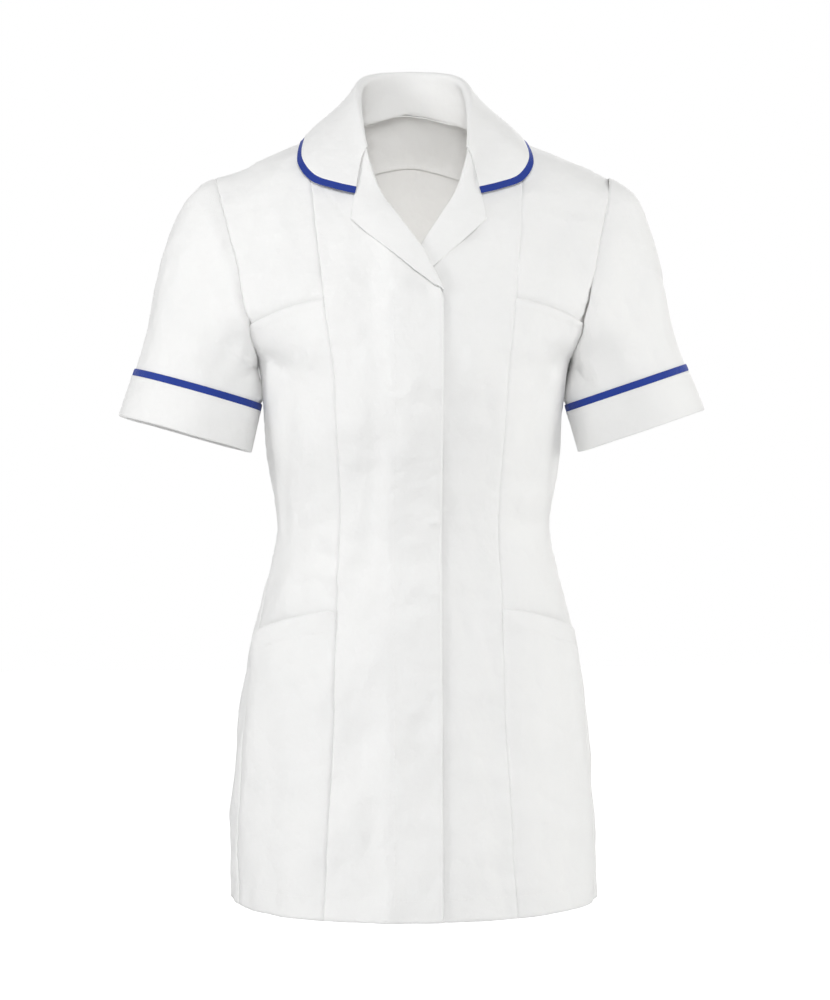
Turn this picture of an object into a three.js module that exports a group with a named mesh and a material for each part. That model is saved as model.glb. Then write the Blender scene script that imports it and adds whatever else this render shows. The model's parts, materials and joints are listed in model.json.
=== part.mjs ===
// Healthcare tunic: short sleeves with turn-up cuffs, a rounded revere collar, princess seams, inset bust
// pockets, hip pockets and a concealed stud front. It keeps the hollow form that it has when worn.
// Millimetres, +Z up, the front faces -Y, and +X is the garment's left. The origin is the centre of the neck,
// level with the inner ends of the shoulder seams, where the wearer's shoulders carry the garment.
import * as THREE from "three";

// ---- driving dimensions ----
const CLOTH = 1.2; // thickness of every cloth wall
const SEAM = 0.3; // gap between two pieces at a seam
const LAYER = CLOTH + SEAM; // how far out the next layer of cloth lies
const ROUNDNESS = 2.15; // superellipse exponent of the body's sections
const SHOULDER_X = 180; // half the width across the shoulder points
const NECK_X = 69; // half the width between the inner ends of the shoulder seams
const OVERLAP = 19; // how far each front runs past the centre front
const OVERLAP_LIFT = 2 * CLOTH + 2.3 * SEAM; // outer face of the lapped front over the front below it
const BREAK_LIFT = 2.6; // extra room there, where the fronts turn back into the lapels
const TRIM_WIDTH = 6.5; // width of the contrast trim
const CUFF_DEPTH = 38;
const STUD_RADIUS = 6;
const STUD_THICKNESS = OVERLAP_LIFT - CLOTH - 2 * SEAM;

// Body sections below the underarm, from the hem up. half: half width. front, back: depth before and behind
// the side line. seamFront, seamBack: half the distance between the princess seams. sideY: where the side
// seam lies, front to back.
const LOWER = [
  { z: -703, half: 169.5, front: 124, back: 120, seamFront: 88, seamBack: 82, sideY: -38 },
  { z: -640, half: 170, front: 120, back: 117, seamFront: 84.5, seamBack: 78, sideY: -36 },
  { z: -580, half: 166, front: 116, back: 114, seamFront: 80.5, seamBack: 74, sideY: -33 },
  { z: -520, half: 159, front: 112, back: 110, seamFront: 77.5, seamBack: 70, sideY: -28 },
  { z: -465, half: 149, front: 108, back: 102, seamFront: 76, seamBack: 66, sideY: -22 },
  { z: -425, half: 139, front: 105, back: 94, seamFront: 75, seamBack: 62, sideY: -16 },
  { z: -390, half: 129.5, front: 101, back: 85, seamFront: 73, seamBack: 59, sideY: -10 },
  { z: -360, half: 125.5, front: 99, back: 80, seamFront: 71, seamBack: 58, sideY: -6 },
  { z: -322, half: 128.5, front: 104, back: 81, seamFront: 71.5, seamBack: 61, sideY: -3 },
  { z: -285, half: 133.5, front: 113, back: 85, seamFront: 73, seamBack: 66, sideY: -1 },
  { z: -245, half: 137, front: 123, back: 91, seamFront: 75.5, seamBack: 72, sideY: 0 },
  { z: -205, half: 143, front: 128, back: 96, seamFront: 78, seamBack: 78, sideY: 0 },
];
// Body sections above the underarm, up to the shoulder seam. Each slopes down from z at the centre line to
// zEnd at the shoulder point. mid: the side line, front to back. arm: half the distance between the armholes.
const UPPER = [
  { half: 166, mid: 1,
    front: { z: -170, zEnd: -176, depth: 122, arm: 149.5, seam: 81.5 },
    back: { z: -157, zEnd: -174, depth: 98, arm: 152, seam: 84 } },
  { half: 184, mid: 2.5,
    front: { z: -136, zEnd: -152, depth: 112, arm: 154.5, seam: 85.5 },
    back: { z: -112, zEnd: -147, depth: 97, arm: 160, seam: 88 } },
  { half: 194, mid: 4,
    front: { z: -102, zEnd: -128, depth: 99, arm: 159.5, seam: 89 },
    back: { z: -70, zEnd: -120, depth: 92.5, arm: 165.5, seam: 91 } },
  { half: 200, mid: 6,
    front: { z: -68, zEnd: -104, depth: 84, arm: 165, seam: 92 },
    back: { z: -32, zEnd: -96, depth: 84, arm: 170, seam: 93.5 } },
  { half: 203, mid: 8,
    front: { z: -38, zEnd: -82, depth: 69, arm: 170.5, seam: 94 },
    back: { z: -2, zEnd: -74, depth: 71, arm: 174, seam: 95 } },
  { half: 204, mid: 10,
    front: { z: -14, zEnd: -64, depth: 54, arm: 175, seam: 95.5 },
    back: { z: 15, zEnd: -58, depth: 56, arm: 176.5, seam: 96.5 } },
  { half: 205, mid: 11,
    front: { z: 3, zEnd: -51, depth: 38, arm: 178, seam: 97 },
    back: { z: 20, zEnd: -48, depth: 40, arm: 178.5, seam: 97.5 } },
  { half: 205, mid: 12,
    front: { z: 12.5, zEnd: -43, depth: 20, arm: 179.5, seam: 98 },
    back: { z: 18, zEnd: -42, depth: 20, arm: 179.5, seam: 98 } },
  { half: 205, mid: 12,
    front: { z: 15.5, zEnd: -40, depth: 0, arm: SHOULDER_X, seam: 98 },
    back: { z: 15.5, zEnd: -40, depth: 0, arm: SHOULDER_X, seam: 98 } },
];
const UNDERARM = LOWER.length - 1; // levels are counted from the hem, and may be fractions
const RIDGE = UNDERARM + UPPER.length; // the shoulder seam
const LEVEL_GAP = 0.01; // share of a level that leaves a seam's gap
const SHOULDER = RIDGE - LEVEL_GAP; // where the panels stop short of that seam
const MOUTH = 12.9; // the bust pocket's mouth at the princess seam

// The rows of points that all the panels share, so that their seams match.
const BELOW_ARM = [0, 1, 2, 3, 4, 5, 6, 7, 8, 9, 10, UNDERARM];
const TO_MOUTH = [11.1, 11.4, 12, MOUTH];
const FROM_MOUTH = [13, 13.4, 14, 14.5, 15, 15.5, 16, 17, 18, 19, SHOULDER];

// Where the fronts end towards the centre: the front edge, then the roll line, then the neck seam.
const FRONT_EDGE = [
  { level: 0, x: -OVERLAP },
  { level: MOUTH, x: -OVERLAP },
  { level: 13, x: -16 },
  { level: 13.4, x: -9.5 },
  { level: 14, x: 0.5 },
  { level: 14.5, x: 12 },
  { level: 15, x: 23 },
  { level: 15.5, x: 33 },
  { level: 16, x: 43 },
  { level: 17, x: 56 },
  { level: 18, x: 64 },
  { level: 19, x: 68 },
  { level: RIDGE, x: NECK_X },
];
// The back neck seam, from the centre back to the shoulder seam.
const BACK_NECK = [
  { x: 0, level: 17.7 },
  { x: 24, level: 17.85 },
  { x: 43, level: 18.1 },
  { x: 55, level: 18.45 },
  { x: 63, level: 18.9 },
  { x: 67, level: 19.4 },
  { x: NECK_X, level: RIDGE },
];
// The lapel, from the break point up to the gorge seam. It folds off the front edge at level. x, z: its free
// edge. roll: top of its fold, where it stands up from the seam.
const LAPEL = [
  { level: 13, x: -11, z: -134 },
  { level: 13.4, x: 4, z: -123 },
  { level: 14, x: 26, z: -105 },
  { level: 14.5, x: 46, z: -88.5 },
  { level: 15, x: 60, z: -76 },
  { level: 15.5, x: 59, z: -67 },
  { level: 16, x: 57.5, z: -60, roll: [41, -62, -32] },
  { level: 17, x: 56, z: -54, roll: [45.5, -49, -12] },
];
// The collar, from the gorge seam round to the centre back. Its base follows the neck seam: the front edge at
// level, then the back neck at x. roll: top of its fold. edge: its rim, on the front or the back.
const COLLAR = [
  { level: 17, roll: [45.5, -49, -12], edge: { x: 56, level: 15.72 } },
  { level: 17.5, roll: [47, -36, -1], edge: { x: 74, level: 16.05 } },
  { level: 18.2, roll: [48, -21, 12], edge: { x: 94, level: 16.6 } },
  { level: 19, roll: [49, -5, 25], edge: { x: 105, level: 17.65 } },
  { level: 20, roll: [49, 12, 37], edge: { x: 102, level: 19.4 } },
  { x: 66, roll: [47, 27, 45.5], edge: { x: 96, level: 19 } },
  { x: 57.5, roll: [41, 41, 51.5], edge: { x: 84, level: 17.6 } },
  { x: 43, roll: [29, 53, 54.5], edge: { x: 61, level: 16.8 } },
  { x: 24, roll: [14.5, 60, 55.5], edge: { x: 32, level: 16.35 } },
  { x: 0, roll: [0, 62, 56], edge: { x: 0, level: 16.2 } },
];
const GORGE_GAP = 2.2; // how far the collar and the lapel each stop short of the seam between them
const COLLAR_LIFT = 2; // how far the collar's base stands above the neck seam
// The sleeves, each as if on the garment's left. centre: middle of the opening. tilt: its lean outwards, in
// degrees.
const SLEEVES = [
  { name: "right", side: -1, centre: [209.5, 1, -273], halfWidth: 61.5, tilt: 16 },
  { name: "left", side: 1, centre: [209.5, 1, -272], halfWidth: 60, tilt: 18.5 },
];
const CUFF_HALF_DEPTH = 56;
const CUFF_DIP = 6; // degrees that the opening drops towards the front
const STUD_LEVELS = [12.4, 10.4, 8.7, 7.3, 5.3, 3.4];

// ---- small helpers ----
const lerp = (a, b, t) => a + (b - a) * t;
const smooth = (from, to, x) => {
  const t = Math.min(1, Math.max(0, (x - from) / (to - from)));
  return t * t * (3 - 2 * t);
};
const steps = (count) => Array.from({ length: count + 1 }, (_, i) => i / count);
const between = (from, to, count) => steps(count).map((t) => lerp(from, to, t));

// A Catmull-Rom curve through evenly spaced values.
function spline(values, at) {
  const i = Math.min(values.length - 2, Math.max(0, Math.floor(at)));
  const t = at - i;
  const [a, b, c, d] = [-1, 0, 1, 2].map((k) => values[Math.min(values.length - 1, Math.max(0, i + k))]);
  return b + 0.5 * t * (c - a + t * (2 * a - 5 * b + 4 * c - d + t * (3 * (b - c) + d - a)));
}

// Straight lines between the rows of a table: column `value` where column `key` is `at`.
function lookUp(rows, key, value, at) {
  const after = rows.findIndex((row) => row[key] >= at);
  if (after <= 0) return rows[after < 0 ? rows.length - 1 : 0][value];
  const [a, b] = [rows[after - 1], rows[after]];
  return lerp(a[value], b[value], (at - a[key]) / (b[key] - a[key]));
}

// ---- the body's surface ----
// One strip of sections from the front hem over the shoulder to the back hem, so that the shoulder is round.
const lowerRow = (row, face) => ({
  z: row.z, zEnd: row.z, half: row.half, mid: 0,
  depth: face === "front" ? -row.front : row.back,
  seam: face === "front" ? row.seamFront : row.seamBack,
});
const upperRow = (row, face) => ({
  z: row[face].z, zEnd: row[face].zEnd, half: row.half, mid: row.mid,
  depth: (face === "front" ? -1 : 1) * row[face].depth,
  seam: row[face].seam,
});
const faceRows = (face) => [
  ...LOWER.map((row) => lowerRow(row, face)),
  ...UPPER.map((row) => upperRow(row, face)),
];
const STRIP = [...faceRows("front"), ...faceRows("back").slice(0, -1).reverse()];
const COLUMNS = Object.fromEntries(
  ["z", "zEnd", "half", "mid", "depth", "seam"].map((name) => [name, STRIP.map((row) => row[name])]),
);
const onStrip = (face, level) => (face === "front" ? level : 2 * RIDGE - level);
const section = (face, level, column) => spline(COLUMNS[column], onStrip(face, level));

// How far down its slope a section has come at x: 0 at the centre line and 1 at the shoulder point.
const EASE = 0.2;
const slope = (x) => (Math.hypot(x / SHOULDER_X, EASE) - EASE) / (Math.hypot(1, EASE) - EASE);

// turn is the angle round the body: 0 at the centre front, 90 at the garment's left side and 180 at the
// centre back.
const faceOf = (turn) => (Math.abs(turn) <= 90 ? "front" : "back");
function bodyPoint(level, turn) {
  const face = faceOf(turn);
  const angle = THREE.MathUtils.degToRad(turn);
  const power = 2 / ROUNDNESS;
  const x = section(face, level, "half") * Math.sign(angle) * Math.abs(Math.sin(angle)) ** power;
  const y = section(face, level, "mid") + section(face, level, "depth") * Math.abs(Math.cos(angle)) ** power;
  const z = lerp(section(face, level, "z"), section(face, level, "zEnd"), slope(x));
  return new THREE.Vector3(x, y, z);
}
function turnAt(face, level, x) {
  const share = Math.min(1, Math.abs(x) / section(face, level, "half"));
  const turn = THREE.MathUtils.radToDeg(Math.asin(share ** (ROUNDNESS / 2)));
  return (x < 0 ? -1 : 1) * (face === "front" ? turn : 180 - turn);
}
function bodyNormal(level, turn) {
  const low = Math.min(level, RIDGE - 0.02);
  const safe = Math.abs(turn) > 89.4 && Math.abs(turn) < 90.6 ? Math.sign(turn) * 89.4 : turn;
  const across = bodyPoint(low, safe + 0.5).sub(bodyPoint(low, safe - 0.5));
  const up = bodyPoint(low + 0.02, safe).sub(bodyPoint(Math.max(0, low - 0.02), safe));
  return across.cross(up).normalize();
}
// A point on the body, moved out by lift.
const onBody = (level, turn, lift) => bodyPoint(level, turn).addScaledVector(bodyNormal(level, turn), lift);
const onFace = (face, x, level, lift) => onBody(level, turnAt(face, level, x), lift);

// The level where the front has height z at x.
function levelOf(x, z) {
  let [low, high] = [0, RIDGE];
  for (let i = 0; i < 30; i++) {
    const middle = (low + high) / 2;
    const height = lerp(section("front", middle, "z"), section("front", middle, "zEnd"), slope(x));
    if (height < z) low = middle;
    else high = middle;
  }
  return low;
}

// ---- seam lines, as turns on the garment's left side ----
const princess = (face, level) => turnAt(face, level, section(face, level, "seam"));
function sideSeam(level) {
  const y = spline(LOWER.map((row) => row.sideY), level);
  const share = Math.min(1, Math.max(0, y / section("front", level, "depth")));
  return THREE.MathUtils.radToDeg(Math.acos(share ** (ROUNDNESS / 2)));
}
const armTurns = (face) => [
  90,
  ...UPPER.map((row, i) => turnAt(face, UNDERARM + 1 + i, row[face].arm)),
];
const ARMHOLE = { front: armTurns("front"), back: armTurns("back") };
function armhole(face, level) {
  const at = level - UNDERARM;
  if (at >= 1) return spline(ARMHOLE[face], at);
  return lerp(90, ARMHOLE[face][1], Math.sqrt(at)); // a round bottom to the armhole
}
const outerSeam = (face, level) => (level <= UNDERARM ? sideSeam(level) : armhole(face, level));

// Moves a turn along its section by a distance in millimetres.
function shifted(level, turn, distance) {
  const low = Math.min(level, RIDGE - 0.02);
  return turn + distance / bodyPoint(low, turn + 0.5).distanceTo(bodyPoint(low, turn - 0.5));
}

// ---- walls of cloth ----
// A closed wall from a grid of points on its outer face, and the same grid moved in by its thickness.
function wall(outer, inner, closed = false) {
  const rows = outer.length;
  const columns = outer[0].length;
  const position = [...outer.flat(), ...inner.flat()].flatMap((p) => [p.x, p.y, p.z]);
  const index = [];
  const at = (layer, i, j) => layer * rows * columns + i * columns + (j % columns);
  const quad = (a, b, c, d) => index.push(a, b, c, a, c, d);
  const last = closed ? columns : columns - 1;
  for (let i = 0; i < rows - 1; i++) {
    for (let j = 0; j < last; j++) {
      quad(at(0, i, j), at(0, i, j + 1), at(0, i + 1, j + 1), at(0, i + 1, j));
      quad(at(1, i, j), at(1, i + 1, j), at(1, i + 1, j + 1), at(1, i, j + 1));
    }
  }
  for (let j = 0; j < last; j++) {
    quad(at(0, 0, j), at(1, 0, j), at(1, 0, j + 1), at(0, 0, j + 1));
    quad(at(0, rows - 1, j), at(0, rows - 1, j + 1), at(1, rows - 1, j + 1), at(1, rows - 1, j));
  }
  if (!closed) {
    const end = columns - 1;
    for (let i = 0; i < rows - 1; i++) {
      quad(at(0, i, 0), at(0, i + 1, 0), at(1, i + 1, 0), at(1, i, 0));
      quad(at(0, i, end), at(1, i, end), at(1, i + 1, end), at(0, i + 1, end));
    }
  }
  return new THREE.BufferGeometry()
    .setAttribute("position", new THREE.Float32BufferAttribute(position, 3))
    .setIndex(index);
}

// The same piece on the other side of the garment.
function mirrored(geometry) {
  geometry.scale(-1, 1, 1);
  const index = geometry.getIndex();
  for (let i = 0; i < index.count; i += 3) {
    const first = index.getX(i);
    index.setX(i, index.getX(i + 1));
    index.setX(i + 1, first);
  }
  return geometry;
}
const onSide = (side, geometry) => (side > 0 ? geometry : mirrored(geometry));

// The normals of any grid of points, facing the side from which its columns run right and its rows run up.
function gridNormals(grid, closed = false) {
  const columns = grid[0].length;
  return grid.map((row, i) =>
    row.map((_, j) => {
      const [left, right] = closed
        ? [(j + columns - 1) % columns, (j + 1) % columns]
        : [Math.max(0, j - 1), Math.min(columns - 1, j + 1)];
      const across = row[right].clone().sub(row[left]);
      const up = grid[Math.min(grid.length - 1, i + 1)][j].clone().sub(grid[Math.max(0, i - 1)][j]);
      return across.cross(up).normalize();
    }),
  );
}
const moved = (grid, normals, distance) =>
  grid.map((row, i) => row.map((p, j) => p.clone().addScaledVector(normals[i][j], distance)));
function wallOf(grid, closed = false, thickness = CLOTH) {
  return wall(grid, moved(grid, gridNormals(grid, closed), -thickness), closed);
}

// ---- materials and pieces ----
const finish = (name, color, roughness, metalness) =>
  new THREE.MeshStandardMaterial({ name, color, roughness, metalness });
const white = finish("white_cloth", 0xf2f2f1, 0.85, 0);
const blue = finish("blue_trim", 0x23388c, 0.8, 0);
const metal = finish("stud_metal", 0xb9bcc0, 0.35, 1);
const tunic = new THREE.Group();
tunic.name = "medical_tunic";

function add(name, geometry, material) {
  const mesh = new THREE.Mesh(geometry, material);
  mesh.name = name;
  tunic.add(mesh);
}

// A panel of the body, laid out on the garment's left. rows: its levels. bend: moves a row's level to follow
// a mouth. from, to: its seams as turns, by level. lift: how far out its outer face lies, by row, turn and
// share of its width.
function panel({ side, rows, from, to, columns, bend = (row) => row, lift = () => 0 }) {
  const grid = (inward) =>
    rows.map((row) =>
      steps(columns).map((across) => {
        const level = bend(row, across);
        const first = shifted(level, from(level), SEAM / 2);
        const last = shifted(level, to(level), -SEAM / 2);
        const turn = lerp(first, last, across);
        return onBody(level, turn, lift(row, turn, across) - inward);
      }),
    );
  return onSide(side, wall(grid(0), grid(CLOTH)));
}

const edgeTurn = (level) => turnAt("front", level, lookUp(FRONT_EDGE, "level", "x", level));
const frontPrincess = (level) => princess("front", level);
const frontOuter = (level) => outerSeam("front", level);

// The garment's right front laps over its left one, and has more room where the fronts turn back.
const liftOfFront = (side, level, turn) => {
  if (side > 0) return 0;
  const x = -bodyPoint(level, turn).x;
  const breaking = smooth(12, 13.2, level) * (1 - smooth(14, 15.6, level));
  return smooth(-46, -23, x) * (OVERLAP_LIFT * (1 - smooth(14, 16.5, level)) + BREAK_LIFT * breaking);
};
const frontCentre = (side) => panel({
  side,
  rows: [...BELOW_ARM, ...TO_MOUTH, ...FROM_MOUTH],
  from: edgeTurn,
  to: frontPrincess,
  columns: 6,
  lift: (row, turn) => liftOfFront(side, row, turn),
});

// The bust pocket's mouth drops towards the armhole, and the rows of both side panels bend with it.
const MOUTH_DROP = 0.72;
function bustRow(row, across) {
  const [below, above] = [TO_MOUTH[1], 14];
  const nearness = row < MOUTH ? (row - below) / (MOUTH - below) : (above - row) / (above - MOUTH);
  return row - MOUTH_DROP * across ** 1.5 * Math.max(0, nearness);
}
const BAG_BOTTOM = 9; // level where the bust pocket's bag ends, inside
const frontSideUpper = (side) => panel({
  side,
  rows: [...BELOW_ARM.slice(BAG_BOTTOM), ...TO_MOUTH, ...FROM_MOUTH],
  from: frontPrincess,
  to: frontOuter,
  columns: 4,
  bend: bustRow,
  lift: (row) => (row <= MOUTH ? -LAYER - SEAM : 0),
});
const frontSideLower = (side) => panel({
  side,
  rows: [...BELOW_ARM, ...TO_MOUTH],
  from: frontPrincess,
  to: frontOuter,
  columns: 4,
  bend: bustRow,
});

// The hip pocket lies on the side panel, and its mouth drops and stands open towards the side seam.
const HIP_MOUTH = 5;
const hipRow = (row, across) => (row === HIP_MOUTH ? row - 0.9 * across ** 1.4 : row);
const hipPocket = (side) => panel({
  side,
  rows: [0, 1, 2, 3, 4, HIP_MOUTH],
  from: frontPrincess,
  to: sideSeam,
  columns: 4,
  bend: hipRow,
  lift: (row, turn, across) => LAYER + SEAM + 3 * smooth(0.4, 1, across) * smooth(2.5, 4, row),
});

// The back's side panel is cut as one piece. Its solid stops at the underarm, and a second one goes on up.
const backSide = (side, rows) => panel({
  side,
  rows,
  from: (level) => (level <= UNDERARM ? sideSeam(level) : armhole("back", level)),
  to: (level) => princess("back", level),
  columns: 4,
});
const ABOVE_ARM = [UNDERARM + LEVEL_GAP, 11.1, 11.4, 12, 13, 14, 15, 16, 17, 18, 19, SHOULDER];

// The centre back is one piece, from seam to seam. The neck's facing lies inside its top, on the same points.
const FACING_FROM = 15;
const BACK_HALF = [0, 24, 43, 55, 63, NECK_X, 84, 98]; // where the columns of points cross the shoulder seam
const acrossBack = (half) => [...half.slice(1).reverse(), ...half.map((x) => -x)];
function backGrid(rows, half, lift) {
  const widest = BACK_HALF[BACK_HALF.length - 1];
  return rows.map((row) =>
    acrossBack(half).map((x) => {
      const neck = lookUp(BACK_NECK, "x", "level", Math.abs(x));
      const rise = (Math.max(row, FACING_FROM) - FACING_FROM) / (SHOULDER - FACING_FROM);
      const level = Math.min(row, FACING_FROM) + rise * (Math.min(neck, SHOULDER) - FACING_FROM);
      return onFace("back", (x / widest) * (section("back", level, "seam") - SEAM / 2), level, lift);
    }),
  );
}
const backWall = (rows, half, lift) => wall(backGrid(rows, half, lift), backGrid(rows, half, lift - CLOTH));
const NECK_ROWS = [FACING_FROM, 16, 17, 18, 19, SHOULDER];
const backCentre = () => backWall([...BELOW_ARM, 12, 13, 14, ...NECK_ROWS], BACK_HALF, 0);
const backFacing = () => backWall(NECK_ROWS, BACK_HALF.slice(0, -1), -LAYER - SEAM);

// ---- lapels and collar ----
const FOLD = { lapel: 2, collar: 3.6 }; // outer radius of the fold
const FACE_LIFT = 2.4 * CLOTH; // outer face of a turned-back layer above the cloth that it lies on

// The line of points across the lapel or collar at one station, from its base, over its fold, to its edge.
function stationLine({ base, roll, edge, normal, radius }) {
  const toEdge = edge.clone().sub(base);
  const rise = roll ? roll.clone().sub(base).normalize() : toEdge.clone().negate().normalize();
  const out = (roll ? toEdge : normal).clone();
  out.addScaledVector(rise, -out.dot(rise)).normalize();
  const centre = roll
    ? roll.clone().addScaledVector(rise, -radius)
    : base.clone().addScaledVector(out, radius);
  const onFold = (degrees) => {
    const a = THREE.MathUtils.degToRad(degrees);
    return centre.clone()
      .addScaledVector(out, -radius * Math.cos(a))
      .addScaledVector(rise, radius * Math.sin(a));
  };
  const start = onFold(0);
  const end = onFold(180);
  const reach = end.distanceTo(edge);
  const fall = new THREE.CubicBezierCurve3(
    end,
    end.clone().addScaledVector(rise, -0.25 * reach).addScaledVector(out, 0.06 * reach),
    edge.clone().lerp(end, 0.35).addScaledVector(out, 0.05 * reach),
    edge,
  );
  const stand = roll ? [base, base.clone().lerp(start, 0.5), start] : [start];
  return [...stand, ...[45, 90, 135].map(onFold), ...[0, 0.3, 0.65, 1].map((t) => fall.getPoint(t))];
}

function lapelLine(side, { level, x, z, roll }) {
  const baseTurn = edgeTurn(level);
  const edgeLevel = levelOf(x, z);
  const edgeAt = turnAt("front", edgeLevel, x);
  return stationLine({
    base: onBody(level, shifted(level, baseTurn, -2 * SEAM), liftOfFront(side, level, baseTurn) - CLOTH),
    edge: onBody(edgeLevel, edgeAt, FACE_LIFT + liftOfFront(side, edgeLevel, edgeAt)),
    roll: roll && new THREE.Vector3(...roll),
    normal: bodyNormal(level, baseTurn),
    radius: FOLD.lapel,
  }).slice(-8);
}
// The last line of an end, moved back along the piece by a distance.
const drawnBack = (last, before, distance) =>
  last.map((p, j) => p.clone().lerp(before[j], distance / p.distanceTo(before[j])));
function lapel(side) {
  const lines = LAPEL.map((row) => lapelLine(side, row));
  const [before, last] = lines.slice(-2);
  return onSide(side, wallOf([...lines.slice(0, -1), drawnBack(last, before, GORGE_GAP)]));
}

function collarStation({ level, x, roll, edge }, number) {
  const face = level ? "front" : "back";
  const seamX = level ? lookUp(FRONT_EDGE, "level", "x", level) : x;
  const seamLevel = level ?? lookUp(BACK_NECK, "x", "level", x);
  return stationLine({
    base: onFace(face, seamX, seamLevel, -CLOTH).add(new THREE.Vector3(0, 0, COLLAR_LIFT)),
    edge: onFace(face, edge.x, edge.level, FACE_LIFT + 1),
    roll: new THREE.Vector3(...roll),
    radius: lerp(FOLD.lapel, FOLD.collar, smooth(0, 3, number)),
  });
}
// Stations all the way round the neck, from the gorge on the right to the gorge on the left, with one between
// each two.
function collarLines() {
  const left = COLLAR.map(collarStation);
  left[0] = drawnBack(left[0], left[1], GORGE_GAP);
  const right = left.slice(0, -1).map((line) => line.map((p) => p.clone().setX(-p.x)));
  const round = [...right, ...left.reverse()];
  return steps(2 * (round.length - 1)).map((t) =>
    round[0].map((_, j) => {
      const at = t * (round.length - 1);
      const axis = (name) => spline(round.map((line) => line[j][name]), at);
      return new THREE.Vector3(axis("x"), axis("y"), axis("z"));
    }),
  );
}
const shorten = (line, distance) => {
  const [before, last] = line.slice(-2);
  return last.clone().lerp(before, distance / last.distanceTo(before));
};
function collar(lines) {
  return wallOf(lines.map((line) => [...line.slice(0, -1), shorten(line, TRIM_WIDTH + SEAM)]));
}
function collarTrim(lines) {
  return wallOf(lines.map((line) => [shorten(line, TRIM_WIDTH), line[line.length - 1]]), false, CLOTH * 0.9);
}

// ---- sleeves ----
const ROUND = 20; // points round a sleeve
// The armhole from the shoulder point down the front, under the arm and up the back, in points an equal
// distance apart.
function armholeLoop() {
  const half = (face) => {
    const fine = between(1, 0, 60).map((t) => UNDERARM + (RIDGE - UNDERARM) * t * t);
    const points = fine.map((level) => bodyPoint(level, armhole(face, level)));
    return new THREE.CatmullRomCurve3(points).getSpacedPoints(ROUND / 2);
  };
  return [...half("front").slice(0, -1), ...half("back").reverse().slice(0, -1)];
}
function sleeveFrame({ centre, tilt, halfWidth }) {
  const lean = THREE.MathUtils.degToRad(tilt);
  const dip = THREE.MathUtils.degToRad(CUFF_DIP);
  const out = new THREE.Vector3(Math.cos(lean), 0, Math.sin(lean));
  const along = new THREE.Vector3(Math.sin(lean), -Math.sin(dip), -Math.cos(lean)).normalize();
  const front = out.clone().cross(along).normalize();
  return { middle: new THREE.Vector3(...centre), halfWidth, out, along, front };
}
// A ring round the sleeve, a distance above its opening, moved out by lift.
function cuffRing(frame, above, lift) {
  return steps(ROUND).slice(0, -1).map((share) => {
    const a = share * 2 * Math.PI;
    return frame.middle.clone()
      .addScaledVector(frame.along, -above)
      .addScaledVector(frame.out, (frame.halfWidth - 0.05 * above + lift) * Math.cos(a))
      .addScaledVector(frame.front, -(CUFF_HALF_DEPTH + lift) * Math.sin(a));
  });
}
const TRIM_TOP = CUFF_DEPTH + SEAM + TRIM_WIDTH;
function sleeveRings(frame) {
  const straight = cuffRing(frame, TRIM_TOP, 0);
  const lines = armholeLoop().map((start, j) => {
    const a = (j / ROUND) * 2 * Math.PI;
    const drop = THREE.MathUtils.degToRad(lerp(20, 66, (1 - Math.cos(a)) / 2));
    const leave = new THREE.Vector3(Math.cos(drop), -0.12 * Math.sin(a), -Math.sin(drop));
    const from = start.clone().addScaledVector(leave, 2 * SEAM).add(new THREE.Vector3(SEAM, 0, 0));
    const reach = from.distanceTo(straight[j]);
    return new THREE.CubicBezierCurve3(
      from,
      from.clone().addScaledVector(leave, 0.28 * reach),
      straight[j].clone().addScaledVector(frame.along, -0.45 * reach),
      straight[j],
    );
  });
  const cap = [0, 0.06, 0.16, 0.32, 0.52, 0.76, 1].map((t) => lines.map((line) => line.getPoint(t)));
  return [...cap, cuffRing(frame, 0, 0)];
}

function addSleeve(sleeve) {
  const frame = sleeveFrame(sleeve);
  const ringWall = (rings) => onSide(sleeve.side, wallOf(rings, true));
  const cuff = [CUFF_DEPTH, CUFF_DEPTH / 2, 0].map((above) => cuffRing(frame, above, LAYER));
  const trim = [TRIM_TOP, CUFF_DEPTH + SEAM].map((above) => cuffRing(frame, above, LAYER));
  add(`sleeve_${sleeve.name}`, ringWall(sleeveRings(frame)), white);
  add(`cuff_${sleeve.name}`, ringWall(cuff), white);
  add(`cuff_trim_${sleeve.name}`, ringWall(trim), blue);
}

// ---- concealed studs between the fronts, on the centre front ----
function addStud(level, number) {
  const [low, high] = [Math.floor(level), level > 12 ? MOUTH : Math.ceil(level)];
  const point = bodyPoint(low, 0).lerp(bodyPoint(high, 0), (level - low) / (high - low));
  const across = bodyPoint(low, 2).sub(bodyPoint(low, -2));
  const up = bodyPoint(high, 0).sub(bodyPoint(low, 0));
  const normal = across.cross(up).normalize();
  const geometry = new THREE.CylinderGeometry(STUD_RADIUS, STUD_RADIUS, STUD_THICKNESS, 12);
  add(`stud_${number}`, geometry, metal);
  const stud = tunic.children[tunic.children.length - 1];
  stud.position.copy(point.addScaledVector(normal, SEAM + STUD_THICKNESS / 2));
  stud.quaternion.setFromUnitVectors(new THREE.Vector3(0, 1, 0), normal);
}

// ---- the garment ----
for (const { name, side } of SLEEVES) {
  add(`front_centre_${name}`, frontCentre(side), white);
  add(`front_side_upper_${name}`, frontSideUpper(side), white);
  add(`front_side_lower_${name}`, frontSideLower(side), white);
  add(`hip_pocket_${name}`, hipPocket(side), white);
  add(`back_side_lower_${name}`, backSide(side, BELOW_ARM), white);
  add(`back_side_upper_${name}`, backSide(side, ABOVE_ARM), white);
  add(`lapel_${name}`, lapel(side), white);
}
add("back_centre", backCentre(), white);
add("back_neck_facing", backFacing(), white);
const COLLAR_LINES = collarLines();
add("collar", collar(COLLAR_LINES), white);
add("collar_trim", collarTrim(COLLAR_LINES), blue);
SLEEVES.forEach(addSleeve);
STUD_LEVELS.forEach((level, i) => addStud(level, i + 1));

export default tunic;
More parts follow.
